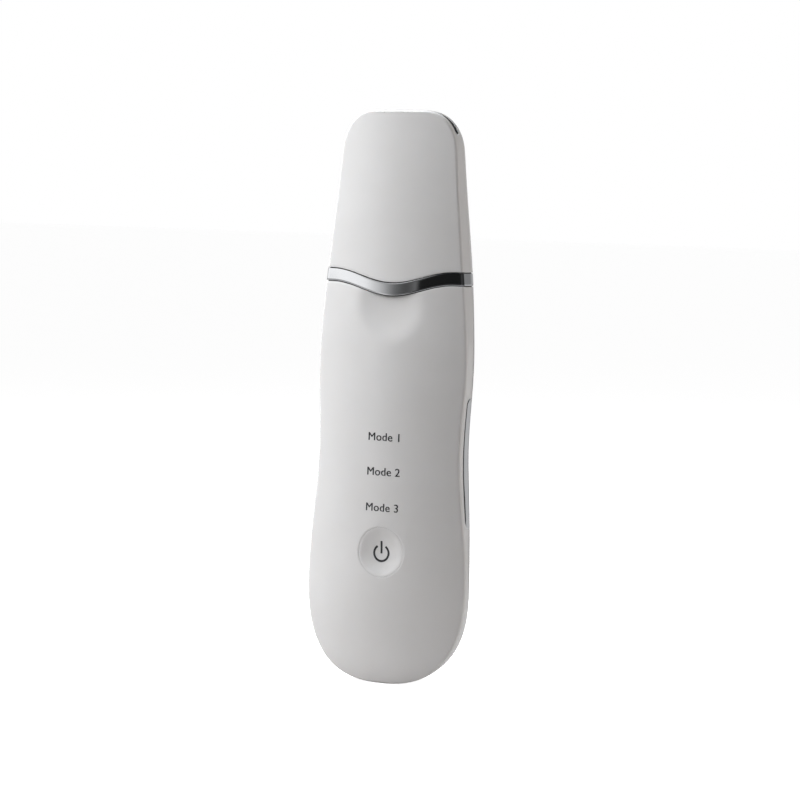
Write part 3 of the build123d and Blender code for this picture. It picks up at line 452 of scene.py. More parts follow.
# slot: (material name, two colours, noise scale, roughness range,
#        bump (noise scale, strength, distance in metres), further settings)
FINISHES = {
    "white_gloss": ("white_gloss_shell", (0.775, 0.773, 0.768), (0.80, 0.80, 0.798), 55,
                    (0.16, 0.22), (700, 0.04, 0.00003), dict(coat=0.7, sss=0.05)),
    "white_inner": ("white_inner_moulding", (0.70, 0.70, 0.68), (0.76, 0.76, 0.745), 240,
                    (0.42, 0.55), (2600, 0.25, 0.00004), {}),
    "chrome": ("chrome_plate", (0.80, 0.81, 0.83), (0.86, 0.87, 0.885), 120,
               (0.035, 0.075), (420, 0.035, 0.00002), dict(metallic=1.0)),
    "blade_steel": ("brushed_blade", (0.50, 0.51, 0.52), (0.64, 0.65, 0.66), 900,
                    (0.20, 0.36), (2600, 0.18, 0.00002),
                    dict(metallic=1.0, stretch=(1.0, 1.0, 0.03), aniso=0.5)),
    "steel": ("turned_steel", (0.42, 0.42, 0.43), (0.56, 0.56, 0.57), 1600,
              (0.22, 0.38), (3000, 0.15, 0.00002), dict(metallic=1.0, stretch=(0.1, 0.1, 1.0))),
    "zinc": ("zinc_plate", (0.55, 0.55, 0.56), (0.68, 0.68, 0.66), 900,
             (0.25, 0.42), (2400, 0.2, 0.00002), dict(metallic=1.0)),
    "aluminium": ("turned_aluminium", (0.66, 0.67, 0.68), (0.78, 0.79, 0.80), 1500,
                  (0.22, 0.36), (3200, 0.18, 0.00002),
                  dict(metallic=1.0, stretch=(0.08, 0.08, 1.0))),
    "piezo": ("piezo_ceramic", (0.52, 0.48, 0.36), (0.66, 0.61, 0.47), 1100,
              (0.45, 0.65), (3000, 0.3, 0.00003), {}),
    "copper": ("bare_copper", (0.72, 0.36, 0.20), (0.86, 0.50, 0.32), 1300,
               (0.2, 0.34), (2600, 0.2, 0.00003), dict(metallic=1.0, stretch=(1.0, 6.0, 1.0))),
    "bronze": ("spring_bronze", (0.62, 0.42, 0.20), (0.76, 0.55, 0.30), 900,
               (0.22, 0.36), (2200, 0.15, 0.00002), dict(metallic=1.0)),
    "silicone": ("silicone_seal", (0.66, 0.66, 0.64), (0.74, 0.74, 0.72), 300,
                 (0.5, 0.66), (1800, 0.3, 0.00004), dict(sss=0.15)),
    "grommet_rubber": ("black_rubber", (0.018, 0.018, 0.018), (0.035, 0.035, 0.034), 700,
                       (0.6, 0.8), (2200, 0.35, 0.00004), {}),
    "black_plastic": ("black_moulding", (0.016, 0.016, 0.018), (0.03, 0.03, 0.032), 900,
                      (0.36, 0.5), (3200, 0.3, 0.00003), {}),
    "led": ("led_lens", (0.80, 0.78, 0.62), (0.90, 0.89, 0.78), 1400,
            (0.08, 0.16), (2000, 0.05, 0.00002), dict(coat=0.5)),
    "ferrite": ("ferrite", (0.045, 0.045, 0.05), (0.085, 0.085, 0.09), 1500,
                (0.5, 0.7), (4200, 0.5, 0.00004), {}),
    "chip": ("fired_chip", (0.42, 0.33, 0.24), (0.58, 0.48, 0.36), 1600,
             (0.35, 0.5), (3000, 0.2, 0.00003), {}),
    "cell_wrap": ("cell_foil", (0.56, 0.58, 0.61), (0.70, 0.72, 0.75), 260,
                  (0.28, 0.42), (500, 0.35, 0.0001), dict(metallic=0.9)),
    "foam": ("foam_pad", (0.03, 0.03, 0.032), (0.09, 0.09, 0.092), 2600,
             (0.85, 0.95), (2600, 0.9, 0.0002), {}),
    "wire_red": ("red_insulation", (0.50, 0.03, 0.025), (0.62, 0.05, 0.04), 500,
                 (0.3, 0.42), (1500, 0.1, 0.00003), dict(coat=0.2)),
    "wire_white": ("white_insulation", (0.70, 0.70, 0.68), (0.78, 0.78, 0.76), 500,
                   (0.3, 0.42), (1500, 0.1, 0.00003), dict(coat=0.2)),
    "winding_tape": ("polyimide_tape", (0.62, 0.40, 0.05), (0.76, 0.52, 0.10), 300,
                     (0.14, 0.26), (900, 0.2, 0.00004), dict(coat=0.4)),
    "ink": ("grey_print", (0.030, 0.030, 0.033), (0.048, 0.048, 0.052), 2200,
            (0.38, 0.55), (5200, 0.2, 0.00001), {}),
    # painted shade: dark grey that stands in for the shade deep inside the cap's slot
    "cap_slot_painted_shade": ("cap_inside_shade", (0.07, 0.07, 0.073), (0.10, 0.10, 0.104), 500,
                  (0.6, 0.75), (1500, 0.2, 0.00003), {}),
}


def board_material():
    """Green circuit board with a raised net of paler lines."""
    material, tree, shader, coords = new_material("green_board")
    base = ramp(tree, noise(tree, coords, 900, detail=2.0),
                [(0.35, (0.008, 0.10, 0.045)), (0.65, (0.014, 0.135, 0.06))])
    cells = add_node(tree, "ShaderNodeTexVoronoi", {"Vector": coords, "Scale": 420},
                     feature="DISTANCE_TO_EDGE", distance="CHEBYCHEV")
    lines = ramp(tree, cells.outputs["Distance"], [(0.0, (1, 1, 1)), (0.07, (0, 0, 0))])
    color = add_node(tree, "ShaderNodeMixRGB", {0: lines, 1: base, 2: (0.03, 0.22, 0.10, 1)})
    set_inputs(tree, shader, {
        "Base Color": color.outputs[0],
        "Roughness": 0.3,
        "Coat Weight": 0.3,
        "Normal": bump(tree, lines, strength=0.2, distance=0.00003),
    })
    return material


MATERIALS = {slot: surface(*finish, **extra) for slot, (*finish, extra) in FINISHES.items()}
MATERIALS["board"] = board_material()

SLOT_OF = {}                            # material slot of each CAD piece
for entry in frame["record"]["subparts"]:
    SLOT_OF.setdefault(entry["node"], entry["material_slot"])
    piece = NODES[entry["node"]].data
    piece.materials.clear()
    piece.materials.append(MATERIALS[entry["material_slot"]])
    piece.shade_smooth()
    piece.set_sharp_from_angle(angle=math.radians(30))


# ------------------------------------------------------------------ loops round the form
def crease_points(arc, inset, cap, dished):
    """Rounded corner between crown and flank, crown side first, and the depth share it ends at."""
    radius = max(0.3, CREASE_R - 0.3 * inset)
    _, _, nx, nz = on_outline(arc)

    def side(depth):
        return np.array(flank(arc, depth, inset, cap), float)

    # the sharp corner, found by closing in on where the flank meets the crown
    depth = 0.0
    for _ in range(12):
        x, y, z = side(depth)
        depth += (float(crown(x, z, inset, dished)) - y) / DEPTH * 0.85
    corner = side(depth)
    probe = 0.4
    to_crown = np.array([corner[0] - nx * probe, 0.0, corner[2] - nz * probe])
    to_crown[1] = float(crown(to_crown[0], to_crown[2], inset, dished))
    to_crown = (to_crown - corner) / np.linalg.norm(to_crown - corner)
    to_side = side(depth + probe / DEPTH) - corner
    to_side /= np.linalg.norm(to_side)
    half_angle = math.acos(max(-1.0, min(1.0, float(to_crown @ to_side)))) / 2
    cut = radius / math.tan(half_angle)
    bisector = (to_crown + to_side) / np.linalg.norm(to_crown + to_side)
    centre = corner + bisector * radius / math.sin(half_angle)
    start = corner + to_crown * cut - centre
    end = corner + to_side * cut - centre
    sweep = math.acos(max(-1.0, min(1.0, float(start @ end) / radius / radius)))
    share = np.linspace(0, 1, NCORNER)[:, None]
    turned = (np.sin((1 - share) * sweep) * start + np.sin(share * sweep) * end)
    return centre + turned / math.sin(sweep), depth + cut / DEPTH


def ring(arc, inset, levels, base, follow, lift, cap, dished):
    """Closed loop through an outline station, moved in by inset.

    It runs front left to right, right flank, rear right to left, left flank.
    levels gives the flank's depth shares and insets. follow is how fully the loop takes
    the wave of the line at base, lift is added height.
    """
    level = height_at(arc)
    corner_arc = arc
    if follow > 0:
        for _ in range(3):
            corner = crease_points(corner_arc, inset, cap, dished)[0]
            corner_arc = corner_arc + float((level - corner[0][2]) * follow)
    corner, crease_end = crease_points(corner_arc, inset, cap, dished)
    depths, insets = levels(arc, crease_end, inset)
    arcs = np.full(len(depths), float(arc))
    if follow > 0:
        for _ in range(4):
            x, _, z = flank(arcs, depths, insets, cap)
            arcs = arcs + (level - z + wave(base, x) - base + lift) * follow
    side = np.c_[flank(arcs, depths, insets, cap)]
    corner = corner + np.array([0, 0, lift * follow])
    # both ends of the outline close on the centre line
    if arc < 0.02 or arc > OUT_ARCS[-1] - 0.02:
        corner[:, 0] = 0
        side[:, 0] = 0
    x = np.linspace(-1, 1, NCROSS + 1)[1:-1] * corner[0][0]
    z = corner[0][2] + (wave(base, x) - base) * follow
    front = np.c_[x, crown(x, z, inset, dished), z]
    x_end, y_end, z_end = side[-1]
    x = np.linspace(1, -1, NREAR + 1)[1:-1] * x_end
    z = z_end + (wave(base, x) - wave(base, x_end)) * follow
    y = Y_CREASE + (DEPTH - inset) * taper(z) if cap else np.full_like(x, y_end)
    right = np.vstack([corner, side])
    return np.vstack([front, right, np.c_[x, y, z], (right * (-1, 1, 1))[::-1]])


def slot_half(at, full, end, radius):
    """Half height of a round-ended slot: radius up to full, closing to 0 at end."""
    share = (at - full) / (end - full)
    if share <= 0:
        return radius
    return 0.0 if share >= 1 else radius * math.sqrt(1 - share * share)


def body_levels(arc, crease_end, inset):
    """Flank of the body: crease to foot slot, slot to parting groove, groove to rear."""
    half = slot_half(arc, FOOT_SLOT_FULL, FOOT_SLOT_END, FOOT_SLOT_R)
    groove = PART_GROOVE if inset < 0.5 else 0.0
    before = depth_at_y(Y_PART - PART_GROOVE, inset)
    after = depth_at_y(Y_PART + PART_GROOVE, inset)
    depths = np.r_[
        np.linspace(crease_end, depth_at_y(FOOT_SLOT_Y - half, inset), BODY_FORE + 1)[1:],
        np.linspace(depth_at_y(FOOT_SLOT_Y + half, inset), before, BODY_MID),
        depth_at_y(Y_PART, inset + groove),
        after + (1 - after) * quarter(16)]
    insets = np.full(len(depths), float(inset))
    insets[BODY_FORE + BODY_MID] += groove
    return depths, insets


def cap_levels(arc, crease_end, inset):
    """Flank of the cap: crease to slot, then slot to rear."""
    half = slot_half(-arc, -CAP_SLOT_ARC - CAP_SLOT_R, -CAP_SLOT_ARC, CAP_SLOT_R)
    scale = float(taper(height_at(arc)))
    slot_start = max(depth_at_y(CAP_SLOT_Y - half, inset, scale), crease_end + 0.01)
    slot_end = max(depth_at_y(CAP_SLOT_Y + half, inset, scale), slot_start)
    depths = np.r_[np.linspace(crease_end, slot_start, CAP_FORE + 1)[1:],
                   np.linspace(slot_end, 0.42, 7)[:-1],
                   0.42 + 0.58 * quarter(18)]
    return depths, np.full(len(depths), float(inset))


def band_levels(arc, crease_end, inset):
    shares = np.r_[np.linspace(0, 0.3, 8)[1:], 0.3 + 0.7 * quarter(20)[1:]]
    depths = crease_end + (1 - crease_end) * shares
    return depths, np.full(len(depths), float(inset))


def two_skins(rows, levels, cap=False, dished=False, wall=WALL):
    """Outer and inner grid from rows of (arc, outer inset, base, follow, lift)."""
    outer = [ring(arc, inset, levels, base, follow, lift, cap, dished)
             for arc, inset, base, follow, lift in rows]
    inner = [ring(arc, wall, levels, base, follow, lift, cap, False)
             for arc, _, base, follow, lift in rows]
    return np.array(outer), np.array(inner)


# ------------------------------------------------------------------ housing halves
def key_warp(grid, key_row, radius, inset, dished):
    """Turn a square block of the front grid round the key into rings of a circle."""
    key_column = NCROSS // 2 - 1
    for i in range(key_row - KEY_REACH, key_row + KEY_REACH + 1):
        for j in range(key_column - KEY_REACH, key_column + KEY_REACH + 1):
            up, across = i - key_row, j - key_column
            order = max(abs(up), abs(across))
            if order == 0:
                continue
            x, z = grid[i, j, 0], grid[i, j, 2] - KEY_Z
            reach = math.hypot(across, up)
            pull = 1.0 if order <= KEY_CELLS else float(1 - smooth(KEY_CELLS, KEY_REACH, order))
            ring_r = radius * order / KEY_CELLS
            x = (1 - pull) * x + pull * ring_r * across / reach
            z = KEY_Z + (1 - pull) * z + pull * ring_r * up / reach
            grid[i, j] = x, crown(x, z, inset, dished), z


def key_hole(key_row):
    """Grid nodes round the key hole, and a test for cells inside it."""
    column, n = NCROSS // 2 - 1, KEY_CELLS
    steps = range(-n, n)
    loop = ([(key_row - n, column + d) for d in steps] + [(key_row + d, column + n) for d in steps]
            + [(key_row + n, column - d) for d in steps]
            + [(key_row - d, column - n) for d in steps])
    return loop, lambda i, j: -n <= i - key_row < n and -n <= j - column < n


def build_body():
    """Vertices of the whole body, with the faces of its front and rear halves."""
    top = arc_at_z(BAND_Z0)
    key = arc_at_z(KEY_Z)
    foot = np.unique(np.r_[0.0, 0.25, np.arange(0.6, 5.0, 0.35), FOOT_SLOT_FULL,
                           3.6, 4.0, 4.3, 4.5, 4.62, FOOT_SLOT_END])
    spacing, top_step = 0.5, 0.2
    to_key = int(round((key - foot[-1]) / spacing))
    to_top = int(round((top - top_step - key) / spacing))
    stations = np.r_[foot, np.linspace(foot[-1], key, to_key + 1)[1:],
                     np.linspace(key, top - top_step, to_top + 1)[1:]]
    key_row = len(foot) + to_key - 1

    def follow(arc):
        return float(smooth(BODY_WAVE_FROM, BAND_Z0 - WAVE_MARGIN, height_at(arc)))
    rows = [(arc, 0.0, BAND_Z0, follow(arc), 0.0) for arc in stations]
    rows += [(top, inset, BAND_Z0, 1.0, -rise) for inset, rise in (RIM_ROLL, RIM_EDGE)]
    outer, inner = two_skins(rows, body_levels, dished=True)
    key_warp(outer, key_row, KEY_R + 0.02, 0.0, True)
    key_warp(inner, key_row, KEY_R, WALL, False)
    hole, in_hole = key_hole(key_row)

    shell = Shell(outer, inner)
    last = shell.rows - 1
    part_left = shell.mirror(PART_COLUMN)
    slot_rows = int(np.searchsorted(stations, FOOT_SLOT_END - 1e-6))
    slots = BODY_SLOT_COLUMN, shell.mirror(BODY_SLOT_COLUMN + 1)
    front_columns = [j % shell.columns for j in range(part_left, PART_COLUMN + shell.columns)]
    rear_columns = range(PART_COLUMN, part_left)

    def skip(i, j):
        return in_hole(i, j) or (i < slot_rows and j in slots)
    part_walls = shell.side(PART_COLUMN, 0, last) + shell.side(part_left, 0, last)
    front = shell.skins(front_columns, skip) + shell.rim(last, front_columns) + part_walls
    for slot in slots:
        front += shell.side(slot, 0, slot_rows) + shell.side(slot + 1, 0, slot_rows)
    # rolled edge of the key hole
    verts = shell.verts
    hole_outer = [shell.outer(i, j) for i, j in hole]
    previous = hole_outer
    for radius, drop in ((KEY_R + 0.006, 0.006), (KEY_R, 0.02)):
        current = []
        for number in hole_outer:
            x, y, z = verts[number]
            scale = radius / math.hypot(x, z - KEY_Z)
            current.append(len(verts))
            verts.append(np.array([x * scale, y + drop, KEY_Z + (z - KEY_Z) * scale]))
        front += stitch(previous, current)
        previous = current
    front += stitch(previous, [shell.inner(i, j) for i, j in hole])
    rear = shell.skins(rear_columns) + shell.rim(last, rear_columns) + part_walls
    return verts, front, rear


def compact(verts, faces):
    """Only the vertices that the faces use, with the faces renumbered."""
    used = sorted({i for face in faces for i in face})
    renumber = {old: new for new, old in enumerate(used)}
    return [verts[i] for i in used], [tuple(renumber[i] for i in face) for face in faces]


body_verts, front_faces, rear_faces = build_body()
make("housing_front", *compact(body_verts, front_faces), "housing", "white_gloss",
     hides=["front_shell"])
housing_rear = make("housing_rear", *compact(body_verts, rear_faces), "housing", "white_gloss",
                    hides=["rear_shell"])

# (radius, y offset from the rear shell)
PLUG_RINGS = [(0.4, -0.10), (1.0, -0.07), (1.5, 0.0), (1.85, 0.04), (2.02, 0.03),
              (2.12, -0.03), (2.2, -0.2), (2.2, -1.2)]


def build_plugs():
    """Plugs over the housing screws, their faces following the rear shell."""
    mesh = housing_rear.data
    tree = BVHTree.FromPolygons([v.co.copy() for v in mesh.vertices],
                                [tuple(p.vertices) for p in mesh.polygons])
    sides, verts, faces = 48, [], []

    def rear_y(x, z):
        return tree.ray_cast(Vector((x, 20, z)) * MM, Vector((0, -1, 0)))[0].y / MM
    for x0, z0 in PLUG_XZ:
        loops = []
        for radius, offset in PLUG_RINGS:
            loops.append(list(range(len(verts), len(verts) + sides)))
            for k in range(sides):
                angle = 2 * math.pi * k / sides
                x, z = x0 + radius * math.cos(angle), z0 + radius * math.sin(angle)
                verts.append((x, rear_y(x, z) + offset, z))
        faces.append(tuple(loops[0]))
        for first, second in zip(loops, loops[1:]):
            faces += stitch(first, second)
        faces.append(tuple(loops[-1][::-1]))
    return verts, faces


make("plug_faces", *build_plugs(), "housing", SLOT_OF["screw_plugs"], hides=["screw_plugs"])


# ------------------------------------------------------------------ cap
def build_cap():
    """Double-walled cap with a slot over its top."""
    bottom = arc_at_z(BAND_Z1)
    below = np.linspace(bottom + 0.2, CAP_SLOT_ARC, 72)
    slot_end = CAP_SLOT_ARC + CAP_SLOT_R * (1 - np.cos(np.radians(np.linspace(0, 90, 9))))[1:]
    stations = np.r_[below, slot_end, np.linspace(slot_end[-1], OUT_ARCS[-1], 66)[1:]]

    def follow(arc):
        return float(1 - smooth(BAND_Z1 + WAVE_MARGIN, CAP_WAVE_TO, height_at(arc)))
    rows = [(bottom, inset, BAND_Z1, 1.0, rise) for inset, rise in (RIM_EDGE, RIM_ROLL)]
    first_slot_row = len(rows) + len(below) - 1
    rows += [(arc, 0.0, BAND_Z1, follow(arc), 0.0) for arc in stations]
    outer, inner = two_skins(rows, cap_levels, cap=True)
    for grid, rear in ((outer, Y_REAR), (inner, Y_REAR - WALL)):
        grid[:, :, 1] = np.minimum(grid[:, :, 1], rear)
        # rows never fold back on themselves where the outline turns
        grid[2:, :, 2] = np.maximum.accumulate(grid[2:, :, 2], axis=0)

    shell = Shell(outer, inner)
    verts = shell.verts
    slots = CAP_SLOT_COLUMN, shell.mirror(CAP_SLOT_COLUMN + 1)
    columns = range(shell.columns)
    faces = shell.skins(columns, lambda i, j: i >= first_slot_row and j in slots)
    faces += shell.rim(0, columns)
    # slot walls, split by an extra line near the outer skin, so that a narrow white lip stays
    # above the painted shade deeper in the slot
    for j in (slots[0], slots[0] + 1, slots[1], slots[1] + 1):
        lip = []
        for i in range(first_slot_row, shell.rows):
            lip.append(len(verts))
            verts.append(verts[shell.outer(i, j)] * 0.82 + verts[shell.inner(i, j)] * 0.18)
        for n, i in enumerate(range(first_slot_row, shell.rows - 1)):
            faces.append((shell.outer(i, j), shell.outer(i + 1, j), lip[n + 1], lip[n]))
            faces.append((lip[n], lip[n + 1], shell.inner(i + 1, j), shell.inner(i, j)))
    return verts, faces


cap_cover = make("cap_cover", *build_cap(), "cap_body", "white_gloss",
                 materials=[MATERIALS["white_gloss"], MATERIALS["cap_slot_painted_shade"]],
                 hides=["cap"], merge=1.6e-5)
# painted shade: long faces near the top, level with the slot and turned to front or rear, get the
# dark slot material in place of the shade deep in the slot (metres)
for polygon in cap_cover.data.polygons:
    ends = [cap_cover.data.vertices[i].co for i in polygon.vertices]
    longest = max((ends[i] - ends[i - 1]).length for i in range(len(ends)))
    if (polygon.center.z > 0.150 and abs(polygon.normal.y) > 0.8
            and -0.0050 < polygon.center.y < -0.0019 and longest > 0.0012):
        polygon.material_index = 1


# ------------------------------------------------------------------ neck band and the black ring of painted shade behind it
def build_band():
    bottom, top = BAND_Z0 + BAND_SEAT, BAND_Z1 - BAND_SEAT
    # rounded edges: (distance from the edge, inset)
    edge = [(0.0, 0.14), (0.04, 0.04), (0.14, 0.0)]
    heights = [(bottom + rise, inset) for rise, inset in edge]
    heights += [(z, 0.0) for z in np.linspace(bottom + 0.14, top - 0.14, 10)[1:-1]]
    heights += [(top - rise, inset) for rise, inset in edge[::-1]]
    rows = [(arc_at_z(z), inset, z, 1.0, 0.0) for z, inset in heights]
    shell = Shell(*two_skins(rows, band_levels))
    columns = range(shell.columns)
    faces = shell.skins(columns) + shell.rim(0, columns) + shell.rim(shell.rows - 1, columns)
    return shell.verts, faces


def build_band_gap_shade():
    """Black ring behind the band's face, painted shade that fills the gaps to both shells."""
    rows = [(arc_at_z(z), 0.45, z, 1.0, 0.0) for z in (BAND_Z0 + 0.02, BAND_Z1 - 0.02)]
    shell = Shell(*two_skins(rows, band_levels, wall=WALL - 0.05))
    faces = []
    for j in range(shell.columns):
        faces += shell.cell(0, j) + [flip(shell.rim(0, [j])[0])] + shell.rim(1, [j])
    return shell.verts, faces


make("neck_band", *build_band(), "housing", "chrome", hides=["chrome_band"])
# painted shade: the black ring stands in for the shade in the gaps beside the band
make("band_gap_shade_ring", *build_band_gap_shade(), "housing", "grommet_rubber")

# ------------------------------------------------------------------ power key
KEY_UNDERSIDE = [(KEY_R - KEY_GAP, -7.2), (KEY_R - KEY_GAP, -6.9), (8.0, -6.9), (8.0, -6.22),
                 (3.0, -6.22)]          # (radius, y) of the skirt, flange and back
KEY_ROUND = 0.02                        # rounding of the key's upper edge


def key_top(x, z):
    """Round hollow laid over the crown, eased where it meets it."""
    r2 = x * x + (z - KEY_Z) ** 2
    hollow = KEY_DISH * (1 - r2 / (KEY_R - 0.45) ** 2)
    return crown(x, z, dished=False) + soft_bowl(hollow, 0.2)


def build_key():
    sides = 144
    radius = KEY_R - KEY_GAP
    top_radius = radius - KEY_ROUND
    angles = np.linspace(0, 2 * math.pi, sides, endpoint=False)
    verts = [(0.0, float(key_top(0.0, KEY_Z)), KEY_Z)]
    loops = []

    def add_loop(r, height):
        x, z = r * np.cos(angles), KEY_Z + r * np.sin(angles)
        loops.append(list(range(len(verts), len(verts) + sides)))
        verts.extend(zip(x, np.broadcast_to(height(x, z), x.shape), z))

    for r in np.r_[np.linspace(0.25, 5.2, 16), np.linspace(5.4, top_radius, 22)]:
        add_loop(r, key_top)
    shrink = top_radius / radius
    for r, drop in ((radius - 0.006, 0.006), (radius, KEY_ROUND)):
        add_loop(r, lambda x, z: key_top(x * shrink, KEY_Z + (z - KEY_Z) * shrink) + drop)
    for r, y in KEY_UNDERSIDE:
        add_loop(r, lambda x, z: y)
    verts.append((0.0, KEY_UNDERSIDE[-1][1], KEY_Z))
    first, last = loops[0], loops[-1]
    faces = [(0, first[i], first[(i + 1) % sides]) for i in range(sides)]
    for one, other in zip(loops, loops[1:]):
        faces += stitch(one, other)
    faces += [(last[i], last[(i + 1) % sides], len(verts) - 1) for i in range(sides)]
    return verts, faces


make("power_key", *build_key(), "key", "white_gloss", hides=["power_button"])


# ------------------------------------------------------------------ side electrodes
def build_electrode(sign):
    """Round-ended domed strip along the flank; sign is -1 at -X and 1 at +X."""
    centre_y, radius = (ELEC_Y0 + ELEC_Y1) / 2, (ELEC_Y1 - ELEC_Y0) / 2
    start, end = arc_at_z(ELEC_Z0), arc_at_z(ELEC_Z1)
    rounding = (1 - np.cos(np.radians(np.linspace(2, 90, 14)))) * radius
    stations = np.r_[start + rounding, np.linspace(start + radius, end - radius, 70)[1:-1],
                     (end - rounding)[::-1]]
    across = np.sin(np.radians(np.linspace(-90, 90, 25)))
    edge_inset, dome, back_inset = 0.12, 0.37, 0.95
    outer, inner = [], []
    for arc in stations:
        to_end = min(arc - start, end - arc)
        half = radius
        if to_end < radius:
            half = math.sqrt(max(0.0, radius ** 2 - (radius - to_end) ** 2))
        y = centre_y + half * across
        swell = np.sqrt(np.maximum(0, 1 - np.abs(across) ** 4))
        face = edge_inset - dome * swell * math.sqrt(np.clip(half / radius, 0, 1))
        for grid, inset in ((outer, face), (inner, np.full_like(face, back_inset))):
            x, _, z = flank(np.full_like(across, arc), depth_at_y(y, inset), inset, False)
            grid.append(np.c_[sign * x, y, z])
    shell = Shell(np.array(outer), np.array(inner))
    columns = range(shell.columns - 1)
    faces = []
    for i in range(shell.rows - 1):
        for j in columns:
            faces += shell.cell(i, j)
        for j in (0, shell.columns - 1):
            faces += shell.side(j, i, i + 1)
    faces += shell.rim(0, columns) + shell.rim(shell.rows - 1, columns)
    return shell.verts, faces


for side_name, sign in (("left", -1), ("right", 1)):
    make(side_name + "_electrode_strip", *build_electrode(sign), "housing", "chrome",
         hides=[side_name + "_electrode"], angle=50)

# ------------------------------------------------------------------ printing
PRINT_PROUD, PRINT_SUNK = 0.015, 0.03   # film thickness in front of and behind the surface
MARK_Z, MARK_R, MARK_HALF_LINE = 37.9, 2.3, 0.31
MARK_GAP = math.radians(33)             # half of the opening at the top of the mark
LABEL_SIZE = 3.3
LABEL_HEIGHTS = (70.25, 60.25, 49.95)   # baselines of Mode 1, 2 and 3
BOLD_SHIFT = 0.055


def film(patches):
    """Thin printed film on the key's top, from grids of (x, z) points."""
    verts, faces = [], []
    for patch in patches:
        grid = np.asarray(patch, float)
        rows, columns = grid.shape[:2]
        x, z = grid[..., 0].ravel(), grid[..., 1].ravel()
        y = key_top(x, z)
        start, count = len(verts), rows * columns
        verts += list(zip(x, y - PRINT_PROUD, z)) + list(zip(x, y + PRINT_SUNK, z))
        for i in range(rows - 1):
            for j in range(columns - 1):
                low = start + i * columns + j
                quad = (low, low + 1, low + columns + 1, low + columns)
                faces += [quad, tuple(number + count for number in quad[::-1])]
        edge = ([(0, j) for j in range(columns - 1)]
                + [(i, columns - 1) for i in range(rows - 1)]
                + [(rows - 1, j) for j in range(columns - 1, 0, -1)]
                + [(i, 0) for i in range(rows - 1, 0, -1)])
        numbers = [start + i * columns + j for i, j in edge]
        for one, other in zip(numbers, numbers[1:] + numbers[:1]):
            faces.append((one, other, other + count, one + count))
    return verts, faces


def power_mark():
    """Open ring and upright bar."""
    angles = np.linspace(math.pi / 2 + MARK_GAP, math.pi / 2 + 2 * math.pi - MARK_GAP, 97)
    radii = np.linspace(MARK_R - MARK_HALF_LINE, MARK_R + MARK_HALF_LINE, 4)
    arc = [[(r * math.cos(a), MARK_Z + r * math.sin(a)) for a in angles] for r in radii]
    bar = [[(x, z) for z in np.linspace(MARK_Z - 0.1, MARK_Z + 3.5, 15)]
           for x in np.linspace(-MARK_HALF_LINE, MARK_HALF_LINE, 4)]
    return film([arc, bar])


def label(name, text, base_z):
    """Centred line of raised lettering on the front face."""
    font = bpy.data.curves.new(name, "FONT")
    font.body = text
    font.size = LABEL_SIZE
    font.align_x = "CENTER"
    font.align_y = "BOTTOM_BASELINE"
    font.resolution_u = 6
    font.space_character = 1.06
    helper = bpy.data.objects.new(name + "_tmp", font)
    bpy.context.scene.collection.objects.link(helper)
    bpy.context.view_layer.update()
    depsgraph = bpy.context.evaluated_depsgraph_get()
    flat_mesh = bpy.data.meshes.new_from_object(helper.evaluated_get(depsgraph))
    bpy.data.objects.remove(helper)
    bm = bmesh.new()
    bm.from_mesh(flat_mesh)
    bmesh.ops.remove_doubles(bm, verts=bm.verts, dist=1e-5)
    # a second impression a hair to the side makes the strokes bolder
    copied = bmesh.ops.duplicate(bm, geom=list(bm.faces))["geom"]
    twin = {v for v in copied if isinstance(v, bmesh.types.BMVert)}
    for v in bm.verts:
        v.co.x += BOLD_SHIFT if v in twin else -BOLD_SHIFT
        v.co.z += 0.004 if v in twin else 0.0
    extruded = bmesh.ops.extrude_face_region(bm, geom=list(bm.faces))["geom"]
    back = {v for v in extruded if isinstance(v, bmesh.types.BMVert)}
    for v in bm.verts:
        x, z = v.co.x, base_z + v.co.y
        offset = PRINT_SUNK if v in back else -PRINT_PROUD
        v.co = Vector((x, float(crown(x, z)) + offset - v.co.z, z)) * MM
    bmesh.ops.recalc_face_normals(bm, faces=bm.faces)
    mesh = bpy.data.meshes.new(name)
    bm.to_mesh(mesh)
    bm.free()
    bpy.data.meshes.remove(flat_mesh)
    place(name, mesh, "housing", "black_plastic", [MATERIALS["ink"]])


make("power_mark", *power_mark(), "key", "black_plastic", materials=[MATERIALS["ink"]], angle=60)
for number, base_z in enumerate(LABEL_HEIGHTS, 1):
    label("mode_label_%d" % number, "Mode %d" % number, base_z)

# ------------------------------------------------------------------ stage, in metres
FLOOR_RADIUS, FLOOR_LIFT = 40.0, 0.90   # FLOOR_LIFT is the floor's glow as the camera sees it
# brightness by direction in degrees: 0 in front (-Y), positive towards +X
# seen by the camera:
SWEEP = [(-180, 1.0), (-80, 1.0), (-50, 0.70), (100, 0.70), (135, 1.0), (180, 1.0)]
# lighting and mirrored in the object:
ROOM = [(-180, 0.42), (-165, 0.50), (-150, 0.28), (-110, 0.32), (-64, 1.15), (-38.5, 1.0),
        (-35.5, 0.92), (-32.5, 0.66), (-30.6, 0.55), (-28, 0.33), (-25.7, 0.16),
        (-21.8, 0.065), (-19, 0.10), (-17.6, 0.18), (-17.0, 0.012), (-2, 0.010), (4, 0.05),
        (96, 0.02), (129, 0.02)]


def by_azimuth(tree, direction, stops):
    """Grey level by the compass direction of a vector."""
    parts = add_node(tree, "ShaderNodeSeparateXYZ", {0: direction}).outputs
    forward = add_node(tree, "ShaderNodeMath", {0: parts["Y"], 1: -1.0}, operation="MULTIPLY")
    angle = add_node(tree, "ShaderNodeMath", {0: parts["X"], 1: forward.outputs[0]},
                     operation="ARCTAN2")
    share = spread(tree, angle.outputs[0], 0.0, 1.0, start=-math.pi, end=math.pi)
    return ramp(tree, share, [((a + 180) / 360, (level,) * 3) for a, level in stops])


def room(tree, direction, behind_right, left_share=1.0):
    """Room brightness; behind_right is the level there, left_share what is kept on the left."""
    stops = [(a, level * (left_share if a < -34 else 1.0)) for a, level in ROOM]
    stops += [(136, behind_right), (165, behind_right), (180, 0.42)]
    return by_azimuth(tree, direction, stops)


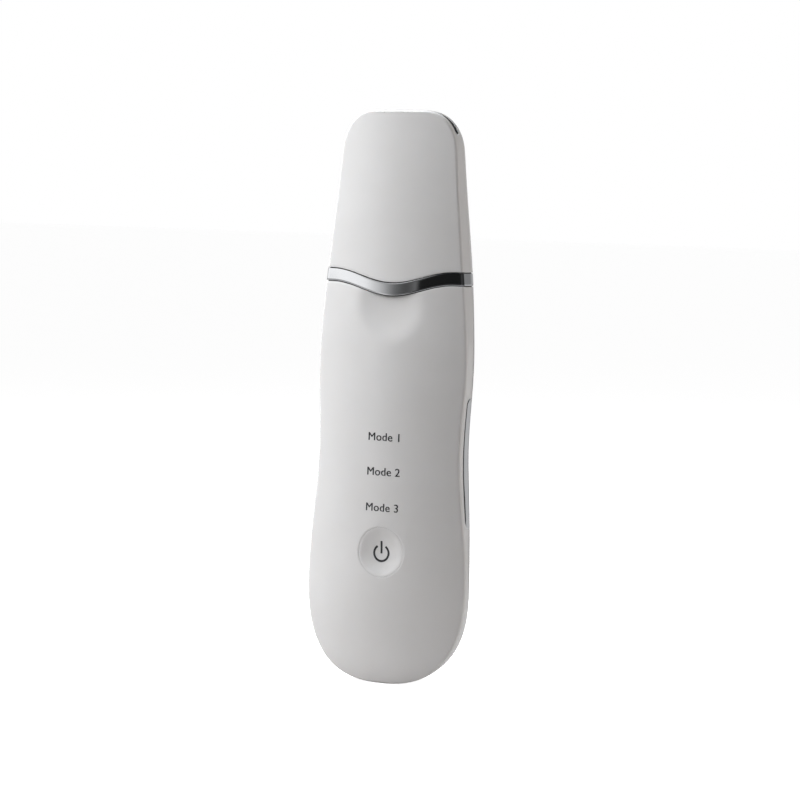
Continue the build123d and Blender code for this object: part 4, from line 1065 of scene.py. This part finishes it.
def floor_material():
    """White floor to the camera, darker to the object, and the room's tones in mirrors."""
    material, tree, shader, coords = new_material("studio_floor")
    rays = add_node(tree, "ShaderNodeLightPath", {}).outputs
    away = add_node(tree, "ShaderNodeVectorMath", {0: coords}, operation="LENGTH")
    distance = away.outputs["Value"]
    # what the camera sees: even near the object, the sweep's tones further out
    glow = mix(tree, spread(tree, distance, 0.0, 1.0, start=0.21, end=0.36),
               (FLOOR_LIFT, FLOOR_LIFT, FLOOR_LIFT, 1),
               by_azimuth(tree, coords, [(a, level * FLOOR_LIFT) for a, level in SWEEP]))
    pale = ramp(tree, noise(tree, coords, 6, detail=2.0),
                [(0.3, (0.94, 0.94, 0.94)), (0.7, (0.96, 0.96, 0.96))])
    shaded = mix(tree, 1.0, pale, glow, blend="MULTIPLY")
    color = mix(tree, rays["Is Camera Ray"], (0.42, 0.40, 0.39, 1), shaded)
    # mirrored in the chrome, the floor carries on the room's light and dark
    mirrored = mix(tree, spread(tree, distance, 1.0, 0.0, start=0.10, end=0.40),
                   room(tree, coords, 0.45, left_share=0.35), (0.55, 0.55, 0.55, 1))
    glowing = add_node(tree, "ShaderNodeMath",
                       {0: rays["Is Camera Ray"], 1: rays["Is Glossy Ray"]},
                       operation="MAXIMUM")
    set_inputs(tree, shader, {
        "Base Color": mix(tree, rays["Is Glossy Ray"], color, (0.02, 0.02, 0.02, 1)),
        "Roughness": 0.8,
        "Specular IOR Level": 0.1,
        "Emission Color": mix(tree, rays["Is Glossy Ray"], glow, mirrored),
        "Emission Strength": glowing.outputs[0],
    })
    return material


def build_floor():
    lowest = min(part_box(name)[0].z for name in NODES)
    bm = bmesh.new()
    bmesh.ops.create_circle(bm, cap_ends=True, segments=128, radius=FLOOR_RADIUS)
    mesh = bpy.data.meshes.new("floor")
    bm.to_mesh(mesh)
    bm.free()
    floor = bpy.data.objects.new("floor", mesh)
    floor.location = (0, 0, lowest - 0.0001)
    bpy.context.scene.collection.objects.link(floor)
    mesh.materials.append(floor_material())


def build_camera():
    """Long lens, right of the object's front and above its middle."""
    azimuth, roll = math.radians(26.47), math.radians(2.02)
    distance, height = 0.8488, 0.1317
    target = Vector((0, 0, 0.0818))
    aim = Vector((-1.1216859e-4, 1.3596193e-4, -1.0))   # where the target lies in camera axes
    data = bpy.data.cameras.new("camera")
    data.sensor_width = 36
    data.lens = 132.39
    data.clip_start = 0.02
    camera = bpy.data.objects.new("camera", data)
    bpy.context.scene.collection.objects.link(camera)
    position = Vector((distance * math.sin(azimuth), -distance * math.cos(azimuth), height))
    camera.matrix_world = (Matrix.Translation(position) @ Matrix.Rotation(azimuth, 4, "Z")
                           @ Matrix.Rotation(math.pi / 2, 4, "X") @ Matrix.Rotation(roll, 4, "Z"))
    # turn it until the target lies along the aim
    for _ in range(4):
        seen = camera.matrix_world.inverted() @ target
        turn = aim.rotation_difference(seen).to_matrix().to_4x4()
        camera.matrix_world = camera.matrix_world @ turn
    bpy.context.scene.camera = camera


def soft_box(name, azimuth, elevation, distance, size, watts, color=(1, 1, 1), glossy=False):
    """Area light aimed at the object; azimuth in degrees, 0 in front, positive towards +X."""
    data = bpy.data.lights.new(name, "AREA")
    data.shape = "RECTANGLE"
    data.size, data.size_y = size
    data.energy = watts
    data.color = color
    light = bpy.data.objects.new(name, data)
    around, up = math.radians(azimuth), math.radians(elevation)
    target = Vector((0, 0, 0.085))
    direction = Vector((math.sin(around) * math.cos(up), -math.cos(around) * math.cos(up),
                        math.sin(up)))
    light.location = direction * distance + target
    light.rotation_euler = (target - light.location).to_track_quat("-Z", "Y").to_euler()
    light.visible_glossy = glossy
    bpy.context.scene.collection.objects.link(light)


def build_world():
    """The sweep for the camera, the room for all else, weaker on matt surfaces."""
    world = bpy.data.worlds.new("studio")
    bpy.context.scene.world = world
    world.use_nodes = True
    tree = world.node_tree
    tree.nodes.clear()
    rays = add_node(tree, "ShaderNodeLightPath", {}).outputs
    direction = add_node(tree, "ShaderNodeTexCoord", {}).outputs["Generated"]
    lighting = add_node(tree, "ShaderNodeBackground", {
        "Color": room(tree, direction, 0.22),
        "Strength": spread(tree, rays["Is Diffuse Ray"], 1.0, 0.12)})
    backdrop = add_node(tree, "ShaderNodeBackground", {
        "Color": by_azimuth(tree, direction, SWEEP), "Strength": 1.0})
    both = add_node(tree, "ShaderNodeMixShader", {
        0: rays["Is Camera Ray"], 1: lighting.outputs[0], 2: backdrop.outputs[0]})
    add_node(tree, "ShaderNodeOutputWorld", {0: both.outputs[0]})


build_floor()
build_camera()
soft_box("key_left", azimuth=-77, elevation=43, distance=0.52, size=(0.34, 0.36), watts=6.6,
         color=(0.975, 0.985, 1.0))
soft_box("fill_right", azimuth=98, elevation=2, distance=0.80, size=(0.45, 0.60), watts=3.8,
         color=(1.0, 0.965, 0.945))
soft_box("overhead", azimuth=-30, elevation=80, distance=0.60, size=(0.40, 0.30), watts=0.2,
         glossy=True)
build_world()

view = bpy.context.scene.view_settings
view.view_transform = "Standard"
view.look = "None"
